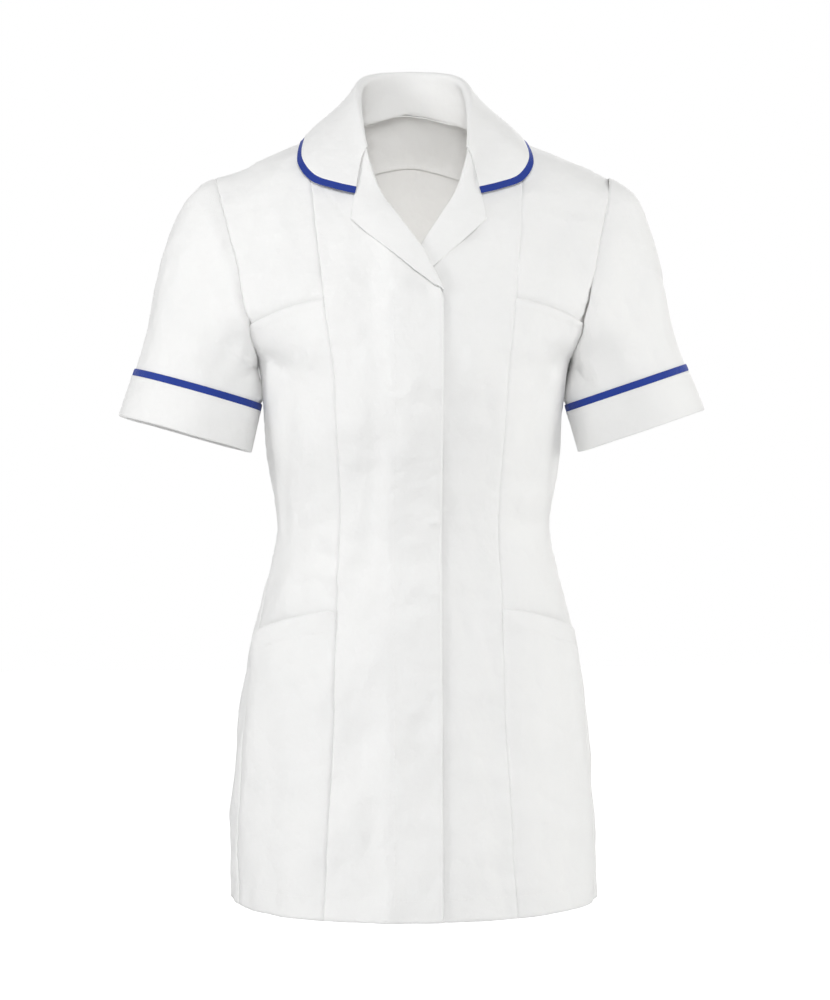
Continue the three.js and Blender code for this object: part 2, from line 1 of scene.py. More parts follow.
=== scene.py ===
"""A white healthcare tunic with royal blue trim. Each piece of cloth is a fine shell on its solid's form.

Lengths are in millimetres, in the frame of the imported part, and become metres when a mesh is made.
"""
import json
import math
from functools import partial

import bpy
import numpy as np
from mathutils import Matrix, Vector

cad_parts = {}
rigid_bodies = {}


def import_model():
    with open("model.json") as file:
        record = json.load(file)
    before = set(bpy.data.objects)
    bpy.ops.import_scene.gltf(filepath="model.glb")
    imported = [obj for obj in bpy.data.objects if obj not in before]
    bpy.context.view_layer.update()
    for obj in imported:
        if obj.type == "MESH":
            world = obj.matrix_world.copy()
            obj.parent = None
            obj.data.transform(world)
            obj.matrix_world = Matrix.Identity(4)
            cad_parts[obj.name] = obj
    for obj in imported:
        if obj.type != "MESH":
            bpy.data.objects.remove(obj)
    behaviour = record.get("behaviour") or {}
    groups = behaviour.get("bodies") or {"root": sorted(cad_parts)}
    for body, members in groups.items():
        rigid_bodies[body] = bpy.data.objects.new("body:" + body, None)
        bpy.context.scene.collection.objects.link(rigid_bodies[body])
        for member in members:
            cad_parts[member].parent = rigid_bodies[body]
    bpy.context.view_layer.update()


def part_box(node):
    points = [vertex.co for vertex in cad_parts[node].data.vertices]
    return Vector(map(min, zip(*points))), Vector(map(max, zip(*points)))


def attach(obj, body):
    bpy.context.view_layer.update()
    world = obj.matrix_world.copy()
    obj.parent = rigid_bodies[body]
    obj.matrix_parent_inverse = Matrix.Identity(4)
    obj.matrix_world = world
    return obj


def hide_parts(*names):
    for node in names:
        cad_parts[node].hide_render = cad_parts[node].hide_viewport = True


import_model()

METRES = 0.001

# ---- the garment's sizes ----
CLOTH = 1.2  # thickness of the cloth
HEM_CLOTH = 0.9  # how much thicker the turned-up hem is
TRIM_CLOTH = 1.0
CUFF_CLOTH = 1.1
LAYER = 1.5  # how far out the next layer of cloth lies
COVER = LAYER + 0.3  # how far a pocket lies off the panel that it covers
ROUNDNESS = 2.15  # superellipse exponent of the body's sections
SHOULDER_X = 180
OVERLAP = 19  # from the centre front to the front edge
OVERLAP_LIFT = 3.1  # how far the lapped front lies off the other one
BREAK_LIFT = 2.6  # how far it also rises where the lapel begins
TRIM_WIDTH = 6.5
CUFF_DEPTH = 38
HEM_DEPTH = 20
MOUTH_STITCH = 7.5  # from the chest pocket's mouth to its stitches
HIP_STITCH = 18
EDGE_STITCH = 1.6
FLY_STITCH = 39  # from the front edge to the fly's line of stitches
GRID = 3.0  # spacing of the points on the cloth
LAPEL_RADIUS = 2.0  # of the fold at the roll line
COLLAR_RADIUS = 3.6
FACE_LIFT = 2.9  # how far a lapel's free edge lies off the body


def table(names, *rows):
    """Named columns of numbers."""
    return {name: np.array(column, float) for name, column in zip(names.split(), zip(*rows))}


# Body sections below the underarm, from the hem up.
LOWER = table(
    "z half front back seam_front seam_back side_y",
    (-703, 169.5, 124, 120, 88, 82, -38),
    (-640, 170, 120, 117, 84.5, 78, -36),
    (-580, 166, 116, 114, 80.5, 74, -33),
    (-520, 159, 112, 110, 77.5, 70, -28),
    (-465, 149, 108, 102, 76, 66, -22),
    (-425, 139, 105, 94, 75, 62, -16),
    (-390, 129.5, 101, 85, 73, 59, -10),
    (-360, 125.5, 99, 80, 71, 58, -6),
    (-322, 128.5, 104, 81, 71.5, 61, -3),
    (-285, 133.5, 113, 85, 73, 66, -1),
    (-245, 137, 123, 91, 75.5, 72, 0),
    (-205, 143, 128, 96, 78, 78, 0),
)
# Body sections above the underarm, up to the shoulder seam. z, z_end: height at the neck and at the
# shoulder point. arm, seam: how far out the armhole and the princess seam are.
UPPER_SHAPE = table(
    "half mid",
    (166, 1), (184, 2.5), (194, 4),
    (200, 6), (203, 8), (204, 10),
    (205, 11), (205, 12), (205, 12),
)
FRONT = table(
    "z z_end depth arm seam",
    (-170, -176, 122, 149.5, 81.5),
    (-136, -152, 112, 154.5, 85.5),
    (-102, -128, 99, 159.5, 89),
    (-68, -104, 84, 165, 92),
    (-38, -82, 69, 170.5, 94),
    (-14, -64, 54, 175, 95.5),
    (3, -51, 38, 178, 97),
    (12.5, -43, 20, 179.5, 98),
    (15.5, -40, 0, 180, 98),
)
BACK = table(
    "z z_end depth arm seam",
    (-157, -174, 98, 152, 84),
    (-112, -147, 97, 160, 88),
    (-70, -120, 92.5, 165.5, 91),
    (-32, -96, 84, 170, 93.5),
    (-2, -74, 71, 174, 95),
    (15, -58, 56, 176.5, 96.5),
    (20, -48, 40, 178.5, 97.5),
    (18, -42, 20, 179.5, 98),
    (15.5, -40, 0, 180, 98),
)
# A level is a section's number, from 0 at the hem to RIDGE along the shoulder seam.
UNDERARM = len(LOWER["z"]) - 1
RIDGE = UNDERARM + len(UPPER_SHAPE["half"])
SHOULDER = RIDGE - 0.004
MOUTH = 12.9  # level of the chest pocket's mouth at its inner end
MOUTH_DROP = 0.72  # levels that it falls towards the side
HIP_MOUTH = 5
HIP_DROP = 0.9
FACING_FROM = 15  # level of the neck facing's lower edge
FACING_HALF = 84
BACK_SEAM = 98  # half the width of the back's centre panel along the shoulder

FRONT_EDGE = table(
    "level x",
    (0, -19), (12.9, -19), (13, -16), (13.4, -9.5), (14, 0.5), (14.5, 12),
    (15, 23), (15.5, 33), (16, 43), (17, 56), (18, 64), (19, 68), (20, 69),
)
BACK_NECK = table(
    "x level",
    (0, 17.7), (24, 17.85), (43, 18.1), (55, 18.45), (63, 18.9), (67, 19.4), (69, 20),
)
# The lapel folds off the front edge at a level. x, z: its free edge. roll: top of its fold.
LAPEL = [
    dict(level=13, x=-11, z=-134),
    dict(level=13.4, x=4, z=-123),
    dict(level=14, x=26, z=-105),
    dict(level=14.5, x=46, z=-88.5),
    dict(level=15, x=60, z=-76),
    dict(level=15.5, x=59, z=-67),
    dict(level=16, x=57.5, z=-60, roll=(41, -62, -32)),
    dict(level=17, x=56, z=-54, roll=(45.5, -49, -12)),
]
# The collar, from its front end round to the centre back. edge: x and level under its free edge.
COLLAR = [
    dict(level=17, roll=(45.5, -49, -12), edge=(56, 15.72)),
    dict(level=17.5, roll=(47, -36, -1), edge=(74, 16.05)),
    dict(level=18.2, roll=(48, -21, 12), edge=(94, 16.6)),
    dict(level=19, roll=(49, -5, 25), edge=(105, 17.65)),
    dict(level=20, roll=(49, 12, 37), edge=(102, 19.4)),
    dict(x=66, roll=(47, 27, 45.5), edge=(96, 19)),
    dict(x=57.5, roll=(41, 41, 51.5), edge=(84, 17.6)),
    dict(x=43, roll=(29, 53, 54.5), edge=(61, 16.8)),
    dict(x=24, roll=(14.5, 60, 55.5), edge=(32, 16.35)),
    dict(x=0, roll=(0, 62, 56), edge=(0, 16.2)),
]
# centre: middle of the cuff's lower edge. tilt: degrees that its outer side is raised.
SLEEVES = [
    dict(name="right", side=-1, centre=(209.5, 1, -273), half_width=61.5, tilt=16),
    dict(name="left", side=1, centre=(209.5, 1, -272), half_width=60, tilt=18.5),
]
CUFF_HALF_DEPTH = 56
CUFF_DIP = 6
TRIM_TOP = CUFF_DEPTH + 0.3 + TRIM_WIDTH


# ---- small helpers ----
def lerp(a, b, t):
    return a + (b - a) * t


def smooth(low, high, x):
    t = np.clip((np.asarray(x, float) - low) / (high - low), 0, 1)
    return t * t * (3 - 2 * t)


def bump(distance, width):
    """1 at no distance, falling away over a width."""
    return np.exp(-((distance / width) ** 2))


def spline(values, at):
    """A Catmull-Rom curve through evenly spaced values, or through evenly spaced points."""
    values = np.asarray(values, float)
    at = np.asarray(at, float)
    i = np.clip(np.floor(at).astype(int), 0, len(values) - 2)
    t = at - i
    a, b, c, d = (values[np.clip(i + k, 0, len(values) - 1)] for k in (-1, 0, 1, 2))
    t = t.reshape(t.shape + (1,) * (values.ndim - 1))
    return b + 0.5 * t * (c - a + t * (2 * a - 5 * b + 4 * c - d + t * (3 * (b - c) + d - a)))


def bezier(start, one, two, end, t):
    return (1 - t) ** 3 * start + 3 * (1 - t) ** 2 * t * one + 3 * (1 - t) * t**2 * two + t**3 * end


def unit(v):
    return v / np.maximum(np.linalg.norm(v, axis=-1, keepdims=True), 1e-9)


def along_line(at, lengths, values):
    """Points, or vectors, at some distances along a line that has them at lengths."""
    return np.stack([np.interp(at, lengths, values[:, k]) for k in range(3)], -1)


# ---- the body's surface ----
def strip(front, back):
    """A column of the strip of sections that runs from the front hem over the shoulder to the back hem."""
    return np.concatenate([*front, np.concatenate(back)[:-1][::-1]])


FLAT = np.zeros(UNDERARM + 1)
COLUMNS = {
    "z": strip((LOWER["z"], FRONT["z"]), (LOWER["z"], BACK["z"])),
    "z_end": strip((LOWER["z"], FRONT["z_end"]), (LOWER["z"], BACK["z_end"])),
    "half": strip((LOWER["half"], UPPER_SHAPE["half"]), (LOWER["half"], UPPER_SHAPE["half"])),
    "mid": strip((FLAT, UPPER_SHAPE["mid"]), (FLAT, UPPER_SHAPE["mid"])),
    "depth": strip((-LOWER["front"], -FRONT["depth"]), (LOWER["back"], BACK["depth"])),
    "seam": strip((LOWER["seam_front"], FRONT["seam"]), (LOWER["seam_back"], BACK["seam"])),
}


def section(back, level, column):
    """A section's own number, between sections too."""
    return spline(COLUMNS[column], np.where(back, 2 * RIDGE - level, level))


SLOPE_EASE = 0.2  # how soft the slope's start is


def slope(x):
    """Share of the way down the shoulder's slope, with a soft start."""
    return (np.hypot(x / SHOULDER_X, SLOPE_EASE) - SLOPE_EASE) / (math.hypot(1, SLOPE_EASE) - SLOPE_EASE)


def height_at(back, level, x):
    return lerp(section(back, level, "z"), section(back, level, "z_end"), slope(x))


def body_point(level, turn):
    """turn is in degrees round the body: 0 at the centre front, 90 at the garment's left side."""
    level, turn = np.broadcast_arrays(np.asarray(level, float), np.asarray(turn, float))
    back = np.abs(turn) > 90
    angle = np.radians(turn)
    power = 2 / ROUNDNESS
    x = section(back, level, "half") * np.sign(angle) * np.abs(np.sin(angle)) ** power
    y = section(back, level, "mid") + section(back, level, "depth") * np.abs(np.cos(angle)) ** power
    return np.stack([x, y, height_at(back, level, x)], -1)


def turn_at(back, level, x):
    share = np.minimum(1, np.abs(x) / section(back, level, "half"))
    turn = np.degrees(np.arcsin(share ** (ROUNDNESS / 2)))
    return np.where(np.asarray(x) < 0, -1, 1) * np.where(back, 180 - turn, turn)


def body_normal(level, turn):
    """Taken a little off the shoulder seam and the widest line, where the surface has a crease."""
    low = np.minimum(level, RIDGE - 0.02)
    safe = np.where(np.abs(np.abs(turn) - 90) < 0.6, np.sign(turn) * 89.4, turn)
    across = body_point(low, safe + 0.5) - body_point(low, safe - 0.5)
    up = body_point(low + 0.02, safe) - body_point(np.maximum(0, low - 0.02), safe)
    return unit(np.cross(across, up))


def on_body(level, turn, lift):
    return body_point(level, turn) + body_normal(level, turn) * np.asarray(lift, float)[..., None]


def level_of(x, z):
    """The level where the front has height z at x."""
    low, high = 0.0, float(RIDGE)
    for _ in range(30):
        middle = (low + high) / 2
        low, high = (middle, high) if height_at(False, middle, x) < z else (low, middle)
    return low


# ---- seam lines, as turns on the garment's left ----
def princess(back, level):
    return turn_at(back, level, section(back, level, "seam"))


def side_seam(level):
    y = spline(LOWER["side_y"], level)
    share = np.clip(y / section(False, level, "depth"), 0, 1)
    return np.degrees(np.arccos(share ** (ROUNDNESS / 2)))


def arm_turns(back):
    face = BACK if back else FRONT
    levels = UNDERARM + 1 + np.arange(len(face["arm"]))
    return np.concatenate([[90], turn_at(back, levels, face["arm"])])


ARMHOLE = {False: arm_turns(False), True: arm_turns(True)}


def armhole(back, level):
    turns = ARMHOLE[back]
    at = np.maximum(np.asarray(level, float) - UNDERARM, 0)
    return np.where(at >= 1, spline(turns, at), lerp(90, turns[1], np.sqrt(np.minimum(at, 1))))


def outer_seam(back, level):
    return np.where(level <= UNDERARM, side_seam(np.minimum(level, UNDERARM)), armhole(back, level))


def softened(levels, values, width):
    """A table of levels and values as a dense curve with its corners rounded."""
    at = np.linspace(0, RIDGE, 2001)
    line = np.interp(at, levels, values)
    reach = int(3 * width / (at[1] - at[0]))
    weights = bump(np.arange(-reach, reach + 1) * (at[1] - at[0]), width * 1.41)
    before = 2 * line[0] - line[reach:0:-1]
    after = 2 * line[-1] - line[-2 : -reach - 2 : -1]
    padded = np.concatenate([before, line, after])
    return at, np.convolve(padded, weights / weights.sum(), "valid")


EDGE_CURVE = softened(FRONT_EDGE["level"], FRONT_EDGE["x"], 0.12)


def edge_x(level):
    return np.interp(level, *EDGE_CURVE)


def edge_turn(level):
    return turn_at(False, level, edge_x(level))


def shifted(level, turn, distance):
    """A turn moved round the body by a distance."""
    low = np.minimum(level, RIDGE - 0.02)
    width = np.linalg.norm(body_point(low, turn + 0.5) - body_point(low, turn - 0.5), axis=-1)
    return turn + distance / width


# ---- grids of points on the cloth ----
def grid_normals(grid, closed=False):
    up = np.gradient(grid, axis=0)
    across = np.gradient(grid, axis=1)
    if closed:
        across = (np.roll(grid, -1, 1) - np.roll(grid, 1, 1)) / 2
    return unit(np.cross(across, up))


def arc_lengths(line):
    return np.concatenate([[0], np.cumsum(np.linalg.norm(np.diff(line, axis=0), axis=-1))])


def even_levels(low, high, turn_of, marks=()):
    """Levels about GRID apart along a line on the body, with a level at each mark."""
    fine = np.linspace(low, high, 900)
    lengths = arc_lengths(body_point(fine, turn_of(fine)))
    stops = [low, *sorted(marks), high]
    levels = []
    for start, end in zip(stops[:-1], stops[1:]):
        a, b = np.interp([start, end], fine, lengths)
        count = max(1, round((b - a) / GRID))
        levels += list(np.interp(np.linspace(a, b, count, endpoint=False), lengths, fine))
    return np.array(levels + [high])


rng = np.random.default_rng(41)


def random_turn():
    return rng.uniform(0, 2 * math.pi)


def random_wave(length, stretch):
    """A wave's direction, its last number scaled by a stretch, over its length."""
    return unit(rng.normal(size=3) * (1, 1, stretch)) * 2 * math.pi / length


def patchy_wave(length):
    """A wave and its phase, and a slower one for the patches where it shows, and its phase."""
    wave = random_wave(length, 0.35)
    patch = random_wave(1, 1) / (length * rng.uniform(2.2, 3.4))
    return wave, random_turn(), patch, random_turn()


UNEVENNESS = table(
    "length height",
    (210, 0.9), (165, 0.8), (130, 0.55), (95, 0.4), (72, 0.28), (55, 0.2), (41, 0.12), (30, 0.08),
)
WAVES = [
    (random_wave(length, 0.45), random_turn(), height)
    for length, height in zip(*UNEVENNESS.values())
]
WRINKLES = table(
    "length height",
    (74, 1.3), (61, 1.2), (50, 1.1), (43, 0.95), (36, 0.8), (31, 0.65), (26, 0.5), (22, 0.4), (18, 0.28),
)
RIPPLES = [(*patchy_wave(length), height) for length, height in zip(*WRINKLES.values())]


def undulation(points):
    """The gentle unevenness of cloth that hangs."""
    return sum(height * np.sin(points @ wave + phase) for wave, phase, height in WAVES)


def ripples(points):
    """Short wrinkles in patches, mostly upright."""
    total = 0
    for wave, phase, patch, start, height in RIPPLES:
        shown = np.clip(np.sin(points @ patch + start) + 0.35, 0, 1.35) / 1.35
        total = total + height * shown**1.5 * np.sin(points @ wave + phase)
    return total


# Soft folds on the body, by their ends as seen from in front. A trough's height is negative.
FRONT_FOLDS = table(
    "x0 z0 x1 z1 width height",
    (-72, -372, -88, -352, 5, 1.5),
    (-73, -384, -92, -372, 5, -1.6),
    (-72, -396, -95, -391, 5.5, 1.3),
    (-71, -409, -90, -409, 6, -1.0),
    (-66, -378, -45, -362, 7, 0.8),
    (-66, -392, -40, -384, 7, -0.8),
    (82, -318, 118, -338, 9, 1.3),
    (80, -338, 112, -356, 8, -1.2),
    (76, -362, 108, -372, 8, 1.1),
    (76, -384, 104, -388, 7, -0.9),
    (-138, -196, -118, -214, 6, -2.6),
    (-141, -212, -122, -236, 7, 1.4),
    (-136, -182, -112, -190, 9, 1.2),
    (138, -196, 120, -212, 6, -2.2),
    (140, -214, 124, -232, 7, 1.2),
    (137, -180, 114, -188, 9, 1.0),
    (-60, -150, -52, -330, 16, 1.2),
    (-38, -165, -34, -420, 13, -0.9),
    (-30, -440, -28, -690, 15, 1.0),
    (-55, -470, -60, -700, 14, -1.1),
    (48, -180, 44, -400, 15, 1.0),
    (62, -430, 70, -700, 13, -1.3),
    (38, -450, 40, -700, 14, 1.1),
    (96, -520, 108, -700, 16, 1.4),
    (128, -540, 142, -700, 14, -1.5),
    (-104, -530, -112, -700, 17, 1.2),
    (-132, -540, -146, -700, 13, -1.3),
    (-90, -100, -106, -150, 14, 0.9),
    (92, -96, 112, -150, 14, -0.8),
    (-112, -230, -100, -320, 16, 0.9),
    (110, -225, 100, -318, 16, -0.9),
    (-120, -60, -150, -140, 12, -0.9),
    (122, -60, 152, -142, 12, -0.9),
    (-30, -560, 10, -600, 24, 0.7),
)
BACK_FOLDS = table(
    "x0 z0 x1 z1 width height",
    (-70, -372, -20, -362, 8, 1.4),
    (-66, -388, -12, -380, 8, -1.5),
    (-60, -404, -8, -400, 9, 1.2),
    (64, -366, 14, -358, 8, 1.3),
    (68, -384, 10, -378, 9, -1.4),
    (58, -402, 12, -396, 9, 1.0),
    (-140, -196, -112, -222, 7, -2.4),
    (-138, -214, -108, -246, 8, 1.5),
    (140, -196, 114, -220, 7, -2.2),
    (139, -214, 110, -244, 8, 1.4),
    (-120, -110, -104, -200, 13, 1.2),
    (120, -110, 106, -205, 13, 1.1),
    (-60, -60, -52, -250, 17, -1.0),
    (58, -60, 54, -240, 17, -0.9),
    (-50, -450, -62, -700, 16, 1.5),
    (-20, -470, -22, -700, 15, -1.3),
    (18, -450, 20, -700, 16, 1.4),
    (54, -460, 66, -700, 15, -1.4),
    (-106, -500, -124, -700, 16, -1.4),
    (108, -500, 126, -700, 16, 1.3),
    (-88, -420, -104, -520, 12, 1.0),
    (90, -420, 104, -520, 12, -1.0),
)


def crease_height(across, up, rows):
    """Sum of soft ridges and troughs along straight lines, each fading out at its ends."""
    total = np.zeros_like(across)
    for x0, z0, x1, z1, width, height in zip(*rows.values()):
        run, rise = x1 - x0, z1 - z0
        length = math.hypot(run, rise)
        t = ((across - x0) * run + (up - z0) * rise) / length**2
        inside = np.clip(t, 0, 1)
        away = np.hypot(across - x0 - inside * run, up - z0 - inside * rise)
        total += height * bump(away, width) * np.sin(math.pi * np.clip(t * 0.86 + 0.07, 0, 1)) ** 0.7
    return total


STUDS = [np.mean(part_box(f"stud_{number}"), axis=0) / METRES for number in range(1, 7)]
# Marks round a hidden stud, by their places from it. drift: share of the stud's own drift. lean: slant.
STUD_MARKS = table(
    "x z wide high height drift lean",
    (13, 5, 7, 3.6, 1.9, 0.4, 0),
    (10, -3, 5, 3.4, -0.8, 0.4, 0),
    (-17, 0, 11, 4.5, 1.6, 1, 0.2),
    (-16, -8, 9, 4, -1.2, 1, -0.25),
    (-2, 13, 12, 5, 1.3, 0, 0),
    (-2, -14, 12, 5, 1.3, 0, 0),
)


def from_stud(points, stud):
    """How far points lie to the side of a stud, and above it."""
    return points[..., 0] - stud[0], points[..., 2] - stud[2]


def stud_marks(points):
    """Each hidden stud holds the lapped front down, with short drag lines beside it."""
    total = np.zeros(points.shape[:-1])
    for number, stud in enumerate(STUDS):
        across, up = from_stud(points, stud)
        stud_drift = 4 * math.sin(number * 2.1)
        for x, z, wide, high, height, drift, lean in zip(*STUD_MARKS.values()):
            middle = z + drift * stud_drift + lean * across
            total += height * bump(across - x, wide) * bump(up - middle, high)
    return total


def clear_of_studs(points):
    """0 over a stud, where the fronts are held together, and 1 away from it."""
    held = sum(bump(np.hypot(*from_stud(points, stud)), 12) for stud in STUDS)
    return 1 - np.minimum(held * 1.15, 1)


def cloth_folds(points, normals):
    front = np.clip(-normals[..., 1] * 2.5, 0, 1)
    back = np.clip(normals[..., 1] * 2.5, 0, 1)
    across, up = points[..., 0], points[..., 2]
    total = undulation(points) + ripples(points)
    total += front * crease_height(across, up, FRONT_FOLDS)
    total += back * crease_height(across, up, BACK_FOLDS)
    return total


def pucker(along, away, seed, height=0.3, reach=7.0):
    """The ripple that a sewn seam draws into the cloth beside it."""
    drift = 1.9 * np.sin(along / 17.3 + seed) + 1.3 * np.sin(along / 41.0 + 2 * seed)
    phase = along * 2 * math.pi / 11.5 + drift
    strength = 0.6 + 0.4 * np.sin(along / 63.0 + 3 * seed)
    return height * strength * np.sin(phase) * bump(away, reach)


# ---- meshes ----
def make_object(name, vertices, faces, material, uvs=None):
    """An object of quads. vertices are in millimetres."""
    mesh = bpy.data.meshes.new(name)
    faces = np.asarray(faces, np.int32)
    mesh.vertices.add(len(vertices))
    mesh.vertices.foreach_set("co", (np.asarray(vertices) * METRES).astype(np.float32).ravel())
    mesh.loops.add(faces.size)
    mesh.loops.foreach_set("vertex_index", faces.ravel())
    mesh.polygons.add(len(faces))
    mesh.polygons.foreach_set("loop_start", np.arange(0, faces.size, 4, dtype=np.int32))
    mesh.update(calc_edges=True)
    if uvs is not None:
        layer = mesh.uv_layers.new(name="cloth")
        layer.data.foreach_set("uv", uvs[faces.ravel()].astype(np.float32).ravel())
    mesh.validate()
    mesh.shade_smooth()
    obj = bpy.data.objects.new(name, mesh)
    bpy.context.collection.objects.link(obj)
    mesh.materials.append(material)
    return obj


def shell(name, outer, thickness, closed, side, material):
    """A closed wall of cloth: the outer grid, the same grid moved in by its thickness, and soft rims.

    Gives the object, and the outer grid's width, length and area in metres."""
    rows, columns = outer.shape[:2]
    depth = np.broadcast_to(np.asarray(thickness, float), (rows, columns))[..., None]
    inward = grid_normals(outer, closed) * depth
    middle, inner = outer - inward / 2, outer - inward
    step_up = unit(np.gradient(outer, axis=0))
    step_across = unit(np.gradient(outer, axis=1))
    # each edge: its points, the way out from it, and which way round its rim's faces go
    edges = [((0, slice(None)), -step_up, 1), ((-1, slice(None)), step_up, -1)]
    if not closed:
        edges += [((slice(None), 0), -step_across, -1), ((slice(None), -1), step_across, 1)]
    index = np.arange(rows * columns).reshape(rows, columns)
    second = index + rows * columns
    round_again = np.arange(columns + 1) % columns if closed else np.arange(columns)
    front, behind = index[:, round_again], second[:, round_again]
    quads = [
        np.stack([front[:-1, :-1], front[:-1, 1:], front[1:, 1:], front[1:, :-1]], -1).reshape(-1, 4),
        np.stack([behind[:-1, :-1], behind[1:, :-1], behind[1:, 1:], behind[:-1, 1:]], -1).reshape(-1, 4),
    ]
    u = np.broadcast_to(arc_lengths(outer[rows // 2])[None, :], (rows, columns))
    v = np.broadcast_to(arc_lengths(outer[:, columns // 2])[:, None], (rows, columns))
    uv = np.stack([u, v], -1)
    vertices = [outer.reshape(-1, 3), inner.reshape(-1, 3)]
    uvs = [uv.reshape(-1, 2)] * 2
    rims = []
    count = 2 * rows * columns
    for at, outward, turn in edges:
        bulge = middle[at] + outward[at] * depth[at] * 0.32
        rim = count + np.arange(len(bulge))
        one, other = index[at], second[at]
        if closed:
            rim, one, other = rim[round_again], one[round_again], other[round_again]
        for a, b in ((one, rim), (rim, other)):
            quad = np.stack([a[:-1], b[:-1], b[1:], a[1:]], -1)
            quads.append(quad if turn > 0 else quad[:, ::-1])
        rims.append(rim)
        vertices.append(bulge)
        uvs.append(uv[at])
        count += len(bulge)
    if not closed:
        # one quad closes each corner, between the two rims that meet there
        bottom, top, left, right = rims
        corners = [
            (index[0, 0], left[0], second[0, 0], bottom[0]),
            (index[0, -1], bottom[-1], second[0, -1], right[0]),
            (index[-1, 0], top[0], second[-1, 0], left[-1]),
            (index[-1, -1], right[-1], second[-1, -1], top[-1]),
        ]
        quads.append(np.array(corners))
    vertices, faces = np.concatenate(vertices), np.concatenate(quads)
    if side < 0:
        vertices, faces = vertices * (-1, 1, 1), faces[:, ::-1]
    obj = make_object(name, vertices, faces, material, np.concatenate(uvs) * METRES)
    diagonals = np.cross(outer[1:, 1:] - outer[:-1, :-1], outer[1:, :-1] - outer[:-1, 1:])
    area = np.linalg.norm(diagonals, axis=-1).sum() / 2
    width = max(arc_lengths(row)[-1] for row in outer)
    length = max(arc_lengths(outer[:, j])[-1] for j in range(0, columns, 4))
    return obj, width * METRES, length * METRES, area * METRES**2


# ---- materials ----
def add_node(tree, kind, **inputs):
    """A shader node, with some of its inputs set."""
    node = tree.nodes.new(kind)
    for name, value in inputs.items():
        node.inputs[name].default_value = value
    return node


def add_maths(tree, operation, *values):
    """The result of an operation on numbers or on outputs of nodes."""
    node = tree.nodes.new("ShaderNodeMath")
    node.operation = operation
    for socket, value in zip(node.inputs, values):
        if isinstance(value, bpy.types.NodeSocket):
            tree.links.new(value, socket)
        else:
            socket.default_value = value
    return node.outputs[0]


def plain_material(name, colour, roughness, sheen=0.0, metallic=0.0):
    material = bpy.data.materials.new(name)
    material.use_nodes = True
    shader = material.node_tree.nodes["Principled BSDF"]
    values = {
        "Base Color": (*colour, 1),
        "Roughness": roughness,
        "Metallic": metallic,
        "Sheen Weight": sheen,
        "Sheen Roughness": 0.45,
        "Specular IOR Level": 0.25,
    }
    for key, value in values.items():
        shader.inputs[key].default_value = value
    return material, material.node_tree, shader


def woven_cloth(name, colour, shade, pitch, sheen, roughness):
    """Plain woven cloth: fine threads both ways with slubs, soft crumples, and a faintly uneven colour."""
    material, tree, shader = plain_material(name, colour, roughness, sheen)
    link = tree.links.new
    coordinates = add_node(tree, "ShaderNodeTexCoord")
    uv, place = coordinates.outputs["UV"], coordinates.outputs["Object"]
    scale = 2 * math.pi / (pitch * METRES * 20)
    heights = []
    for direction, stretch in (("X", (1, 0.06, 1)), ("Y", (0.06, 1, 1))):
        wave = add_node(tree, "ShaderNodeTexWave", Scale=scale, Distortion=1.2, Detail=1)
        wave.bands_direction = direction
        mapping = add_node(tree, "ShaderNodeMapping", Scale=stretch)
        slub = add_node(tree, "ShaderNodeTexNoise", Scale=900, Detail=3)
        link(uv, wave.inputs["Vector"])
        link(uv, mapping.inputs["Vector"])
        link(mapping.outputs["Vector"], slub.inputs["Vector"])
        heights += [wave.outputs["Fac"], slub.outputs["Fac"]]
    weave = heights[0]
    for height in heights[1:]:
        weave = add_maths(tree, "ADD", weave, height)
    crumple = add_node(tree, "ShaderNodeTexNoise", Scale=46, Detail=4)
    soft = add_node(tree, "ShaderNodeBump", Strength=0.5, Distance=0.0045)
    relief = add_node(tree, "ShaderNodeBump", Strength=0.35, Distance=0.00012)
    mottle = add_node(tree, "ShaderNodeTexNoise", Scale=14, Detail=5)
    ramp = add_node(tree, "ShaderNodeValToRGB")
    for element, position, tint in zip(ramp.color_ramp.elements, (0.3, 0.7), (shade, colour)):
        element.position = position
        element.color = (*tint, 1)
    link(place, crumple.inputs["Vector"])
    link(crumple.outputs["Fac"], soft.inputs["Height"])
    link(weave, relief.inputs["Height"])
    link(soft.outputs["Normal"], relief.inputs["Normal"])
    link(relief.outputs["Normal"], shader.inputs["Normal"])
    link(place, mottle.inputs["Vector"])
    link(mottle.outputs["Fac"], ramp.inputs["Fac"])
    link(ramp.outputs["Color"], shader.inputs["Base Color"])
    return material


WHITE = woven_cloth("white_cloth", (0.87, 0.87, 0.862), (0.845, 0.846, 0.84), 0.45, 0.2, 0.85)
BLUE = woven_cloth("blue_trim", (0.016, 0.045, 0.29), (0.012, 0.034, 0.235), 0.4, 0.1, 0.7)
THREAD = plain_material("white_thread", (0.88, 0.88, 0.875), roughness=0.6, sheen=0.1)[0]
STEEL = plain_material("stud_metal", (0.5, 0.5, 0.52), roughness=0.35, metallic=1.0)[0]


